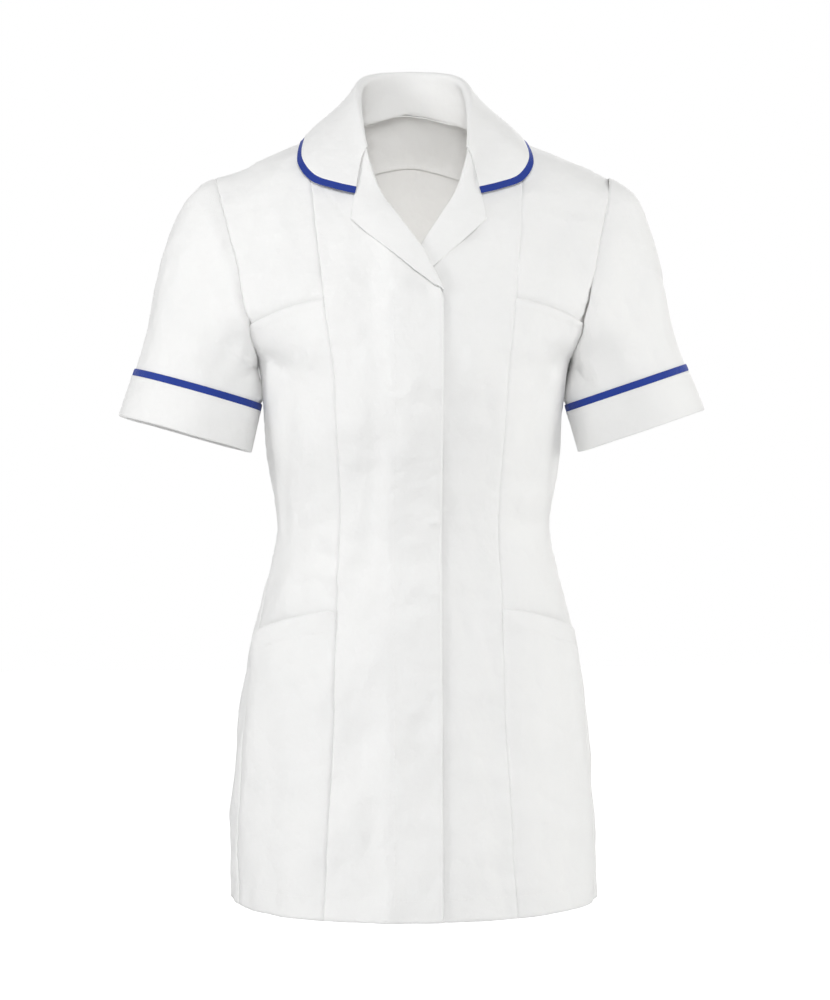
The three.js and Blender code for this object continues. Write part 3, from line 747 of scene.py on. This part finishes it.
# ---- stitches ----
class Stitches:
    """Lines of short raised stitches, all joined into one mesh."""

    PITCH = 3.0
    LENGTH = 2.3
    RADIUS = 0.24
    RINGS = table(
        "along thick rise",
        (0, 0.25, -0.15), (0.18, 0.85, 0.1), (0.5, 1, 0.2), (0.82, 0.85, 0.1), (1, 0.25, -0.15),
    )
    SIDES = np.radians(np.arange(6) * 60)

    def __init__(self):
        self.vertices, self.faces, self.count = [], [], 0

    def line(self, points, normals, side=1):
        lengths = arc_lengths(points)
        starts = np.arange(self.PITCH / 2, lengths[-1] - self.PITCH / 2, self.PITCH)
        at = starts[:, None] + (self.RINGS["along"] - 0.5) * self.LENGTH
        centre = along_line(at, lengths, points)
        up = unit(along_line(at, lengths, normals))
        across = unit(np.cross(unit(np.gradient(centre, axis=1)), up))
        centre = centre + up * self.RINGS["rise"][:, None]
        aside, above = np.cos(self.SIDES)[:, None], np.sin(self.SIDES)[:, None]
        spokes = across[:, :, None] * aside + up[:, :, None] * above
        tube = centre[:, :, None] + spokes * self.RADIUS * self.RINGS["thick"][:, None, None]
        if side < 0:
            tube = tube * (-1, 1, 1)
        index = self.count + np.arange(tube[..., 0].size).reshape(tube.shape[:3])
        after = np.roll(index, -1, 2)
        walls = np.stack([index[:, :-1], after[:, :-1], after[:, 1:], index[:, 1:]], -1).reshape(-1, 4)
        ends = [index[:, 0][:, [3, 2, 1, 0]], index[:, 0][:, [5, 4, 3, 0]]]
        ends += [index[:, -1][:, [0, 1, 2, 3]], index[:, -1][:, [0, 3, 4, 5]]]
        faces = np.concatenate([walls, *ends])
        self.faces.append(faces[:, ::-1] if side > 0 else faces)
        self.vertices.append(tube.reshape(-1, 3))
        self.count += index.size

    def build(self, name):
        return make_object(name, np.concatenate(self.vertices), np.concatenate(self.faces), THREAD)


stitches = Stitches()


# ---- pieces ----
# A side of the back is one piece of cloth and two solids.
SPLIT = {
    "back_side_right": ["back_side_lower_right", "back_side_upper_right"],
    "back_side_left": ["back_side_lower_left", "back_side_upper_left"],
}


def add_cloth(name, outer, thickness, material, closed, side):
    """A piece of cloth, and its width, length and area in metres."""
    piece, *measures = shell(f"{name}_cloth", outer, thickness, closed, side, material)
    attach(piece, "root")
    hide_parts(*SPLIT.get(name, [name]))
    return piece, *measures


def add_sheet(name, outer, thickness, closed=False, side=1, trims=()):
    piece, width, length, area = add_cloth(name, outer, thickness, WHITE, closed, side)


def add_trim(name, outer, closed=False, side=1):
    return add_cloth(name, outer, TRIM_CLOTH, BLUE, closed, side)[0]


# ---- body panels ----
def groove(away, depth=0.4, width=1.4):
    return -depth * bump(away, width)


def stitch_groove(away):
    return groove(away, 0.35, 1.3)


def stitch_at(outer, away, edge, distance, side, span=(0, 1)):
    """A line of stitches on a panel's grid, a distance in from an edge. span: its share of the edge."""
    normals = grid_normals(outer)
    from_edge = np.broadcast_to(away[edge], outer.shape[:2])
    if edge in ("bottom", "top"):
        outer, normals, from_edge = outer.swapaxes(0, 1), normals.swapaxes(0, 1), from_edge.T
    points, ups = [], []
    for row, line, line_normals in zip(from_edge, outer, normals):
        order = np.argsort(row)
        points.append(along_line(distance, row[order], line[order]))
        ups.append(along_line(distance, row[order], line_normals[order]))
    low, high = (int(round(share * (len(points) - 1))) for share in span)
    stitches.line(np.array(points[low : high + 1]), np.array(ups[low : high + 1]), side)


def hemmed(away):
    return CLOTH + HEM_CLOTH * (1 - smooth(HEM_DEPTH - 0.5, HEM_DEPTH + 1, away["bottom"]))


HEM_LINE = ("bottom", HEM_DEPTH, (0, 1))


def panel(name, side, levels, start, end, columns, lift, bend=None, seams=(1, 2), lines=(), hem=True):
    """A panel of the body, made as the left one and mirrored for side -1.

    start, end: turns of its edges at a level. lift: how far out it lies. bend: moves the levels of a row.
    seams: a seed for the pucker along its left and right edges, or 0 for an edge with no seam.
    lines: rows of stitches in a groove: an edge, a distance in from it, and a span of it.
    hem: whether it reaches the garment's hem. Gives its grid, and the distances from its edges."""
    across = np.linspace(0, 1, columns)[None, :]
    level = levels[:, None] + np.zeros_like(across)
    if bend is not None:
        level = bend(level, across)
    turn = lerp(start(level), end(level), across)
    base = body_point(level, turn)
    normals = body_normal(level, turn)
    width = np.linalg.norm(np.diff(base, axis=1), axis=-1).sum(1, keepdims=True)
    height = np.linalg.norm(np.diff(base, axis=0), axis=-1)
    rise = np.concatenate([np.zeros((1, columns)), np.cumsum(height, 0)])
    away = dict(left=across * width, right=(1 - across) * width, bottom=rise, top=rise[-1:] - rise)
    real = base * (side, 1, 1)
    folds = cloth_folds(real, normals * (side, 1, 1))
    if name == "front_centre_right":
        folds = folds + stud_marks(real)
    if name.startswith("front_centre"):
        folds = folds * clear_of_studs(real)
    total = lift(level, turn, across, away) + folds
    for seed, edge in zip(seams, ("left", "right")):
        if seed:
            total += groove(away[edge]) + pucker(base[..., 2], away[edge], seed + (side > 0))
    for edge, distance, _ in lines:
        inside = away[edge] - distance
        total += stitch_groove(inside)
        total += pucker(base[..., 2] + base[..., 0], inside, 5 + distance, 0.16, 5)
    outer = base + normals * total[..., None]
    add_sheet(name, outer, hemmed(away) if hem else CLOTH, side=side)
    for edge, distance, span in lines:
        stitch_at(outer, away, edge, distance, side, span)
    return outer, away


def lift_of_front(side, level, turn):
    """The garment's right front lies over its left one, and rises more where its lapel begins."""
    if side > 0:
        return np.zeros_like(turn)
    x = -body_point(level, turn)[..., 0]
    breaking = smooth(12, 13.2, level) * (1 - smooth(14, 15.6, level))
    return smooth(-46, -23, x) * (OVERLAP_LIFT * (1 - smooth(14, 16.5, level)) + BREAK_LIFT * breaking)


front_princess, back_princess = partial(princess, False), partial(princess, True)
front_outer, back_outer = partial(outer_seam, False), partial(outer_seam, True)


def levels_at(low, high, x, back=False, marks=()):
    """Levels for a panel, evenly spaced along the line that lies at x."""
    def turn_of(level):
        turn = turn_at(False, level, x)
        return 180 - turn if back else turn

    return even_levels(low, high, turn_of, marks)


def front_centre(name, side):
    levels = levels_at(0, SHOULDER, 40.0, marks=(MOUTH,))

    def left_lift(level, turn, across, away):
        beside_lap = body_point(level, turn)[..., 0] - OVERLAP - 1.5
        return -1.3 * bump(beside_lap, 3.5) * (1 - smooth(12, 13, level))

    def right_lift(level, turn, across, away):
        return lift_of_front(side, level, turn) - 0.5 * bump(away["left"], 1.4) * (level < 13)

    top = np.searchsorted(levels, MOUTH) / len(levels)
    right = side < 0
    lift = right_lift if right else left_lift
    lines = [HEM_LINE, ("left", FLY_STITCH, (0.01, top))] if right else [HEM_LINE]
    outer, away = panel(
        f"front_centre_{name}", side, levels, edge_turn, front_princess, 40, lift,
        seams=(0, 1), lines=lines,
    )
    if right:
        stitch_at(outer, away, "left", EDGE_STITCH, side, span=(0.003, top))


def bust_row(level, across):
    """Rows near the chest pocket's mouth follow it."""
    below, above = 11.4, 14.0
    rising, falling = (level - below) / (MOUTH - below), (above - level) / (above - MOUTH)
    nearness = np.maximum(0, np.where(level < MOUTH, rising, falling))
    return level - MOUTH_DROP * across**1.5 * nearness


def front_side_upper(name, side):
    levels = levels_at(9, SHOULDER, 110.0, marks=(11, 11.4, MOUTH))

    def lift(level, turn, across, away):
        behind_pocket = 1 - smooth(MOUTH - 0.02, MOUTH + 0.22, levels[:, None])
        return -COVER * behind_pocket

    panel(
        f"front_side_upper_{name}", side, levels, front_princess, front_outer, 30, lift,
        bend=bust_row, seams=(1, 3), hem=False,
    )


def front_side_lower(name, side):
    levels = levels_at(0, MOUTH, 105.0, marks=(11, 11.4))

    def lift(level, turn, across, away):
        turned = 0.4 * (1 - smooth(7, 9, away["top"]))
        gape = 0.6 * np.sin(across * math.pi) * bump(away["top"], 30)
        hip_mouth = HIP_MOUTH - HIP_DROP * across**1.4
        covered = 1 - smooth(hip_mouth - 0.15, hip_mouth, level)
        return turned + gape - 1.6 * covered * (bump(away["left"], 9) + bump(away["right"], 9))

    panel(
        f"front_side_lower_{name}", side, levels, front_princess, front_outer, 34, lift,
        bend=bust_row, lines=[("top", MOUTH_STITCH, (0, 1))],
    )


def hip_row(level, across):
    """Rows near the hip pocket's mouth follow it."""
    return level - HIP_DROP * across**1.4 * smooth(HIP_MOUTH - 1.2, HIP_MOUTH, level)


def hip_pocket(name, side):
    levels = levels_at(0, HIP_MOUTH, 120.0)

    def lift(level, turn, across, away):
        top, right = away["top"], away["right"]
        gape = 3.0 * smooth(0.35, 0.8, across) * (1 - 0.75 * bump(right, 9)) * bump(top, 42)
        sag = 1.8 * np.sin(math.pi * across) * bump(top - 12, 45)
        turned = 0.5 * (1 - smooth(17, 19, top))
        sewn = bump(away["left"], 8) + bump(right, 8) * (1 - 0.3 * bump(top, 20))
        return COVER + gape + sag + turned - 1.5 * sewn

    panel(
        f"hip_pocket_{name}", side, levels, front_princess, side_seam, 34, lift,
        bend=hip_row, lines=[("top", HIP_STITCH, (0.02, 0.96)), HEM_LINE],
    )


def back_side(name, side):
    levels = levels_at(0, SHOULDER, 110.0, back=True, marks=(11, 11.4))

    def lift(level, turn, across, away):
        return 0.0

    panel(
        f"back_side_{name}", side, levels, back_outer, back_princess, 44, lift,
        seams=(2, 4), lines=[HEM_LINE],
    )


def back_grid(low, half, columns):
    """The centre back from a level up. Its top follows the neck and the shoulders.

    Gives its points, their normals, the folds there, and how far the points lie above the lowest row."""
    def line(level):
        return turn_at(True, level, np.full_like(level, 60.0))

    x = np.linspace(half, -half, columns)[None, :]
    row = even_levels(low, SHOULDER, line, marks=(FACING_FROM,) if low < FACING_FROM else ())[:, None]
    neck = np.interp(np.abs(x), BACK_NECK["x"], BACK_NECK["level"])
    rise = (np.maximum(row, FACING_FROM) - FACING_FROM) / (SHOULDER - FACING_FROM)
    level = np.minimum(row, FACING_FROM) + rise * (np.minimum(neck, SHOULDER) - FACING_FROM)
    turn = turn_at(True, level, x / BACK_SEAM * section(True, level, "seam"))
    base = body_point(level, turn)
    normals = body_normal(level, turn)
    return base, normals, cloth_folds(base, normals), base[..., 2] - base[:1, :, 2]


def back_centre():
    base, normals, total, bottom = back_grid(0, BACK_SEAM, 72)
    from_seam = BACK_SEAM - np.abs(np.linspace(BACK_SEAM, -BACK_SEAM, base.shape[1])) + 0 * bottom
    for sign, seed in ((-1, 4), (1, 5)):
        beside = np.where(np.sign(base[..., 0]) == sign, from_seam, 500)
        total = total + groove(beside) + pucker(base[..., 2], beside, seed)
    total = total + stitch_groove(bottom - HEM_DEPTH)
    outer = base + normals * total[..., None]
    away = dict(bottom=bottom)
    add_sheet("back_centre", outer, hemmed(away))
    stitch_at(outer, away, "bottom", HEM_DEPTH, 1)


def back_facing():
    """It lies inside the back, and its stitches show on its inner face."""
    base, normals, total, bottom = back_grid(FACING_FROM, FACING_HALF, 60)
    outer = base + normals * (total - COVER)[..., None]
    add_sheet("back_neck_facing", outer, CLOTH + 0.5 * bump(bottom, 3))
    out = grid_normals(outer)
    stitches.line((outer - out * CLOTH)[2], -out[2])


# ---- lapels and collar ----
def cross_line(base, edge, roll, normal, radius, stand, fall):
    """Points across a lapel or the collar, from its base over a round fold to its free edge.

    roll: top of the fold, or None where it turns straight over. stand, fall: points before and after."""
    base, edge = np.asarray(base, float), np.asarray(edge, float)
    to_edge = edge - base
    if roll is None:
        rise = unit(-to_edge)
        out = unit(normal - rise * np.dot(normal, rise))
        centre = base + out * radius
    else:
        rise = unit(np.asarray(roll, float) - base)
        out = unit(to_edge - rise * np.dot(to_edge, rise))
        centre = roll - rise * radius
    angles = np.radians(np.linspace(0, 180, 13))[:, None]
    fold = centre - out * radius * np.cos(angles) + rise * radius * np.sin(angles)
    end = fold[-1]
    reach = np.linalg.norm(end - edge)
    one = end - rise * 0.25 * reach + out * 0.06 * reach
    two = lerp(edge, end, 0.35) + out * 0.05 * reach
    down = bezier(end, one, two, edge, np.linspace(0, 1, fall + 1)[1:, None])
    up = lerp(base, fold[0], np.linspace(0, 1, stand, endpoint=False)[:, None])
    return np.concatenate([up, fold, down])


def dense(lines, between, straight_edge=False):
    """More lines between given ones. At the free edge they may run straight between them."""
    lines = np.asarray(lines)
    at = np.linspace(0, len(lines) - 1, between * (len(lines) - 1) + 1)
    curved = spline(lines, at)
    if not straight_edge:
        return curved
    low = np.minimum(np.floor(at).astype(int), len(lines) - 2)
    flat = lerp(lines[low], lines[low + 1], (at - low)[:, None, None])
    weight = smooth(0.45, 0.95, np.linspace(0, 1, lines.shape[1]))[None, :, None]
    return lerp(curved, flat, weight)


def lapel(name, side):
    lines = []
    for row in LAPEL:
        level, x = row["level"], row["x"]
        turn = edge_turn(level)
        edge_level = level_of(x, row["z"])
        edge_at = turn_at(False, edge_level, x)
        base_lift = lift_of_front(side, level, turn) - CLOTH
        edge_lift = lift_of_front(side, edge_level, edge_at) + FACE_LIFT
        base = on_body(level, shifted(level, turn, -0.25), base_lift)
        edge = on_body(edge_level, edge_at, edge_lift)
        normal = body_normal(level, turn)
        lines.append(cross_line(base, edge, row.get("roll"), normal, LAPEL_RADIUS, stand=0, fall=20))
    outer = dense(lines, 10, straight_edge=True)
    share = np.linspace(0, 1, outer.shape[1])[None, :]
    face = smooth(0.3, 0.6, share) * (1 - smooth(0.75, 1, share))
    bend = 0.5 * undulation(outer * (side, 1, 1) * 1.4) * face
    add_sheet(f"lapel_{name}", outer + grid_normals(outer) * bend[..., None], CLOTH, side=side)


def collar_lines():
    left = []
    for number, row in enumerate(COLLAR):
        back = "x" in row
        level = np.interp(row["x"], BACK_NECK["x"], BACK_NECK["level"]) if back else row["level"]
        x = row["x"] if back else edge_x(level)
        edge_at, edge_level = row["edge"]
        base = on_body(level, turn_at(back, level, x), -CLOTH - 1.2) + (0, 0, -1.2)
        edge = on_body(edge_level, turn_at(back, edge_level, edge_at), FACE_LIFT + 0.8)
        radius = lerp(LAPEL_RADIUS, COLLAR_RADIUS, smooth(0, 3, number))
        left.append(cross_line(base, edge, row["roll"], None, radius, stand=12, fall=26))
    right = [line * (-1, 1, 1) for line in left[:-1]]
    return dense([*right, *left[::-1]], 16)


def cut_line(line):
    """The line of the collar without the trim, and the line of the trim."""
    lengths = arc_lengths(line)
    stop = lengths[-1] - TRIM_WIDTH
    body = np.concatenate([lengths[:-8], np.linspace(lengths[-9], stop, 9)[1:]])
    trim = np.linspace(stop, lengths[-1], 9)
    return along_line(body, lengths, line), along_line(trim, lengths, line)


def collar():
    lines = collar_lines()
    share = np.linspace(0, 1, lines.shape[1])[None, :]
    fall = smooth(0.5, 0.62, share) * (1 - smooth(0.68, 0.88, share))
    stand = (1 - smooth(0.25, 0.4, share)) * smooth(0, 0.1, share)
    bend = 0.7 * undulation(lines * 1.2) * fall + 0.4 * undulation(lines * 1.6) * stand
    lines = lines + grid_normals(lines) * bend[..., None]
    body, trim = (np.array(part) for part in zip(*map(cut_line, lines)))
    lengths = arc_lengths(body[len(body) // 2])
    rim = bump(lengths[-1] - lengths, 3.5)[None, :]
    body = body + grid_normals(body) * (0.55 * rim)[..., None]
    crown = 0.35 * np.sin(math.pi * np.linspace(0, 1, trim.shape[1])) ** 0.5 - 0.15
    trim = trim + grid_normals(trim) * crown[None, :, None]
    add_sheet("collar", body, CLOTH + 0.6 * rim, trims=[add_trim("collar_trim", trim)])


# ---- sleeves ----
ROUND = 168
ANGLES = np.arange(ROUND) / ROUND * 2 * math.pi
CAP_ROWS = 52
TUBE_ROWS = 15
CAP_LENGTH = 130.0


def armhole_loop():
    halves = []
    for back in (False, True):
        level = UNDERARM + (RIDGE - UNDERARM) * np.linspace(1, 0, 400) ** 2
        points = body_point(level, armhole(back, level))
        lengths = arc_lengths(points)
        at = np.linspace(0, lengths[-1], ROUND // 2 + 1)
        halves.append(along_line(at, lengths, points))
    return np.concatenate([halves[0][:-1], halves[1][::-1][:-1]])


def sleeve_frame(sleeve):
    lean, dip = math.radians(sleeve["tilt"]), math.radians(CUFF_DIP)
    out = np.array([math.cos(lean), 0, math.sin(lean)])
    along = unit(np.array([math.sin(lean), -math.sin(dip), -math.cos(lean)]))
    middle, front = np.array(sleeve["centre"]), unit(np.cross(out, along))
    return dict(middle=middle, half=sleeve["half_width"], out=out, along=along, front=front)


def cuff_ring(axes, above, lift):
    across = (axes["half"] - 0.05 * above + lift) * np.cos(ANGLES)
    deep = -(CUFF_HALF_DEPTH + lift) * np.sin(ANGLES)
    centre = axes["middle"] - axes["along"] * above
    return centre + np.outer(across, axes["out"]) + np.outer(deep, axes["front"])


# Soft folds on a sleeve, by share of the way round (0 outside, 0.25 in front) and share of the way down.
SLEEVE_FOLDS = {
    "right": table(
        "round0 down0 round1 down1 width height",
        (0.36, 0.12, 0.27, 0.95, 7, -1.7),
        (0.31, 0.10, 0.20, 0.90, 9, 1.6),
        (0.22, 0.25, 0.14, 0.98, 8, -1.2),
        (0.12, 0.30, 0.08, 0.95, 9, 1.1),
        (0.44, 0.30, 0.36, 0.80, 6, -2.2),
        (0.42, 0.45, 0.30, 0.60, 6, 1.3),
        (0.02, 0.20, 0.03, 0.85, 10, -0.9),
        (0.66, 0.12, 0.74, 0.95, 8, 1.5),
        (0.60, 0.25, 0.66, 0.85, 7, -1.6),
        (0.80, 0.25, 0.86, 0.95, 9, -1.2),
    ),
    "left": table(
        "round0 down0 round1 down1 width height",
        (0.37, 0.15, 0.30, 0.92, 8, -1.5),
        (0.30, 0.08, 0.24, 0.96, 9, 1.4),
        (0.23, 0.20, 0.17, 0.90, 7, -1.3),
        (0.13, 0.25, 0.10, 0.98, 9, 1.2),
        (0.43, 0.35, 0.37, 0.85, 6, -2.0),
        (0.05, 0.30, 0.04, 0.90, 9, -0.9),
        (0.68, 0.10, 0.73, 0.90, 8, 1.4),
        (0.61, 0.30, 0.65, 0.88, 7, -1.5),
        (0.83, 0.20, 0.85, 0.98, 9, -1.1),
    ),
}


def sleeve_rings(axes):
    """Rings from the armhole down to the cuff's lower edge."""
    tube_top = cuff_ring(axes, TRIM_TOP, 0)
    drop = np.radians(lerp(20, 66, (1 - np.cos(ANGLES)) / 2))
    leave = np.stack([np.cos(drop), -0.12 * np.sin(ANGLES), -np.sin(drop)], -1)
    start = armhole_loop() + leave * 0.05
    reach = np.linalg.norm(tube_top - start, axis=-1, keepdims=True)
    one = start + leave * 0.28 * reach
    two = tube_top - axes["along"] * 0.45 * reach
    cap = bezier(start, one, two, tube_top, np.linspace(0, 1, CAP_ROWS)[:, None, None])
    tube = [cuff_ring(axes, above, 0) for above in np.linspace(TRIM_TOP, 0, TUBE_ROWS + 1)[1:]]
    return np.concatenate([cap, tube])


def sleeve_folds(name, side, rings, down):
    """Heights on the rings. down: share of the way from the armhole to the trim."""
    girth = 2 * math.pi * CUFF_HALF_DEPTH
    around = (ANGLES / (2 * math.pi))[None, :] * girth + 0 * down
    from_seam = down * CAP_LENGTH
    folds = SLEEVE_FOLDS[name]
    rows = dict(
        x0=folds["round0"] * girth, z0=folds["down0"] * CAP_LENGTH,
        x1=folds["round1"] * girth, z1=folds["down1"] * CAP_LENGTH,
        width=folds["width"], height=folds["height"],
    )
    real = rings * (side, 1, 1)
    total = crease_height(around, from_seam + 0 * around, rows)
    total += 0.9 * (undulation(real) + ripples(real)) * smooth(0, 0.15, down)
    top = 0.4 + 0.6 * np.cos(ANGLES / 2)[None, :] ** 2
    total += 1.5 * smooth(0, 0.12, down) * (1 - smooth(0.12, 0.5, down)) * top
    total += groove(from_seam, 0.5, 1.6) + pucker(around * 1.3, from_seam, 7 + side, 0.45, 9)
    return total * (1 - smooth(0.93, 1.0, down))


def cuff_grid(axes, side):
    heights = np.concatenate([np.linspace(CUFF_DEPTH, 1.2, 15), [0.4, -0.2, -0.5]])
    curl = np.concatenate([np.zeros(15), [-0.15, -0.6, -1.4]])
    cuff = np.array([cuff_ring(axes, above, LAYER + inward) for above, inward in zip(heights, curl)])
    wave = 0.25 * np.sin(ANGLES * 5 + side) + 0.2 * np.sin(ANGLES * 3 + 2)
    from_top = CUFF_DEPTH - heights[:, None]
    total = wave[None, :] * smooth(2, 16, from_top) + 0.15 * undulation(cuff * (side, 1, 1) * 2.0)
    total = total + groove(from_top - 2.2, 0.25, 1.0) + 0.3 * (1 - smooth(0, 1.6, from_top))
    normals = grid_normals(cuff, closed=True)
    return cuff + normals * total[..., None], normals


def sleeve(row):
    """A sleeve with its cuff and trim."""
    axes = sleeve_frame(row)
    side, name = row["side"], row["name"]
    rings = sleeve_rings(axes)
    down = np.concatenate([np.linspace(0, 1, CAP_ROWS), np.ones(TUBE_ROWS)])[:, None]
    outer = rings + grid_normals(rings, closed=True) * sleeve_folds(name, side, rings, down)[..., None]
    add_sheet(f"sleeve_{name}", outer, CLOTH, closed=True, side=side)
    cuff, normals = cuff_grid(axes, side)
    around = np.arange(ROUND + 1) % ROUND
    stitches.line(cuff[1][around], normals[1][around], side)
    bands = np.linspace(TRIM_TOP, CUFF_DEPTH + 0.1, 8)
    crown = 0.35 * np.sin(math.pi * np.linspace(0, 1, 8)) ** 0.5
    band = np.array([cuff_ring(axes, above, LAYER - 0.3 + lift) for above, lift in zip(bands, crown)])
    trim = add_trim(f"cuff_trim_{name}", band, closed=True, side=side)
    add_sheet(f"cuff_{name}", cuff, CUFF_CLOTH, closed=True, side=side, trims=[trim])


# ---- camera, lights and floor ----
TARGET = Vector((0.001, 0, -0.335))
CAMERA_DISTANCE = 3.2
CAMERA_AZIMUTH = math.radians(-3.3)
CAMERA_ELEVATION = math.radians(6)
VIEW_HEIGHT = 0.92  # height of the picture at the target
SENSOR = 36
FLOOR_HEIGHT = -1.42
FLOOR_HALF = 6.0


def look_from(obj, place, target):
    obj.location = place
    obj.rotation_euler = (target - Vector(place)).to_track_quat("-Z", "Y").to_euler()
    bpy.context.collection.objects.link(obj)


def add_camera():
    camera = bpy.data.cameras.new("camera")
    camera.sensor_fit = "VERTICAL"
    camera.sensor_height = SENSOR
    camera.lens = SENSOR * CAMERA_DISTANCE / VIEW_HEIGHT
    direction = Vector((
        math.sin(CAMERA_AZIMUTH) * math.cos(CAMERA_ELEVATION),
        -math.cos(CAMERA_AZIMUTH) * math.cos(CAMERA_ELEVATION),
        math.sin(CAMERA_ELEVATION),
    ))
    holder = bpy.data.objects.new("camera", camera)
    look_from(holder, TARGET + direction * CAMERA_DISTANCE, TARGET)
    bpy.context.scene.camera = holder


def add_lamp(name, place, size, power, tint=(1, 1, 1), target=TARGET):
    light = bpy.data.lights.new(name, "AREA")
    light.shape = "DISK"
    light.size = size
    light.energy = power
    light.color = tint
    lamp = bpy.data.objects.new(name, light)
    lamp.visible_camera = False
    look_from(lamp, place, target)


def add_world():
    """A soft white light from all round, brighter where the camera or a glossy surface sees it."""
    world = bpy.data.worlds.new("world")
    bpy.context.scene.world = world
    world.use_nodes = True
    tree = world.node_tree
    background = tree.nodes["Background"]
    background.inputs["Color"].default_value = (1, 1, 1, 1)
    rays = add_node(tree, "ShaderNodeLightPath").outputs
    seen = add_maths(tree, "MAXIMUM", rays["Is Camera Ray"], rays["Is Glossy Ray"])
    level = add_node(tree, "ShaderNodeMapRange", **{"To Min": 0.36, "To Max": 1.0})
    tree.links.new(seen, level.inputs["Value"])
    tree.links.new(level.outputs["Result"], background.inputs["Strength"])


def add_floor():
    """A pale floor that glows only for the camera, so that it looks white and still takes a shadow."""
    mesh = bpy.data.meshes.new("floor")
    signs = [(-1, -1), (1, -1), (1, 1), (-1, 1)]
    corners = [(x * FLOOR_HALF, y * FLOOR_HALF, FLOOR_HEIGHT) for x, y in signs]
    mesh.from_pydata(corners, [], [(0, 1, 2, 3)])
    floor = bpy.data.objects.new("floor", mesh)
    bpy.context.collection.objects.link(floor)
    material = bpy.data.materials.new("floor")
    material.use_nodes = True
    tree = material.node_tree
    shader = tree.nodes["Principled BSDF"]
    shader.inputs["Base Color"].default_value = (0.8, 0.8, 0.8, 1)
    shader.inputs["Roughness"].default_value = 0.9
    shader.inputs["Emission Color"].default_value = (1, 1, 1, 1)
    rays = add_node(tree, "ShaderNodeLightPath").outputs
    glow = add_maths(tree, "MULTIPLY", rays["Is Camera Ray"], 0.75)
    tree.links.new(glow, shader.inputs["Emission Strength"])
    mesh.materials.append(material)


bpy.context.scene.view_settings.view_transform = "Standard"
add_camera()
add_lamp("key", (-2.7, -0.9, 1.0), 1.1, 31)
add_lamp("front", (-0.2, -3.2, 1.1), 1.0, 54)
add_lamp("fill", (2.8, -0.1, 0.3), 1.4, 31, tint=(1, 0.995, 0.97))
add_lamp("back", (0.7, 3.2, 1.1), 1.2, 50)
add_lamp("neck", (0, -0.02, -0.1), 0.09, 0.04, tint=(1, 0.95, 0.88), target=Vector((0, 0.1, -0.1)))
add_world()
add_floor()


# ---- the garment ----
for sleeve_row in SLEEVES:
    name, side = sleeve_row["name"], sleeve_row["side"]
    for add_piece in (front_centre, front_side_upper, front_side_lower, hip_pocket, back_side, lapel):
        add_piece(name, side)
    sleeve(sleeve_row)
back_centre()
back_facing()
collar()

thread = stitches.build("stitches")
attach(thread, "root")

for obj in bpy.context.scene.objects:
    if obj.name.startswith("stud_"):
        for slot in obj.material_slots:
            slot.material = STEEL
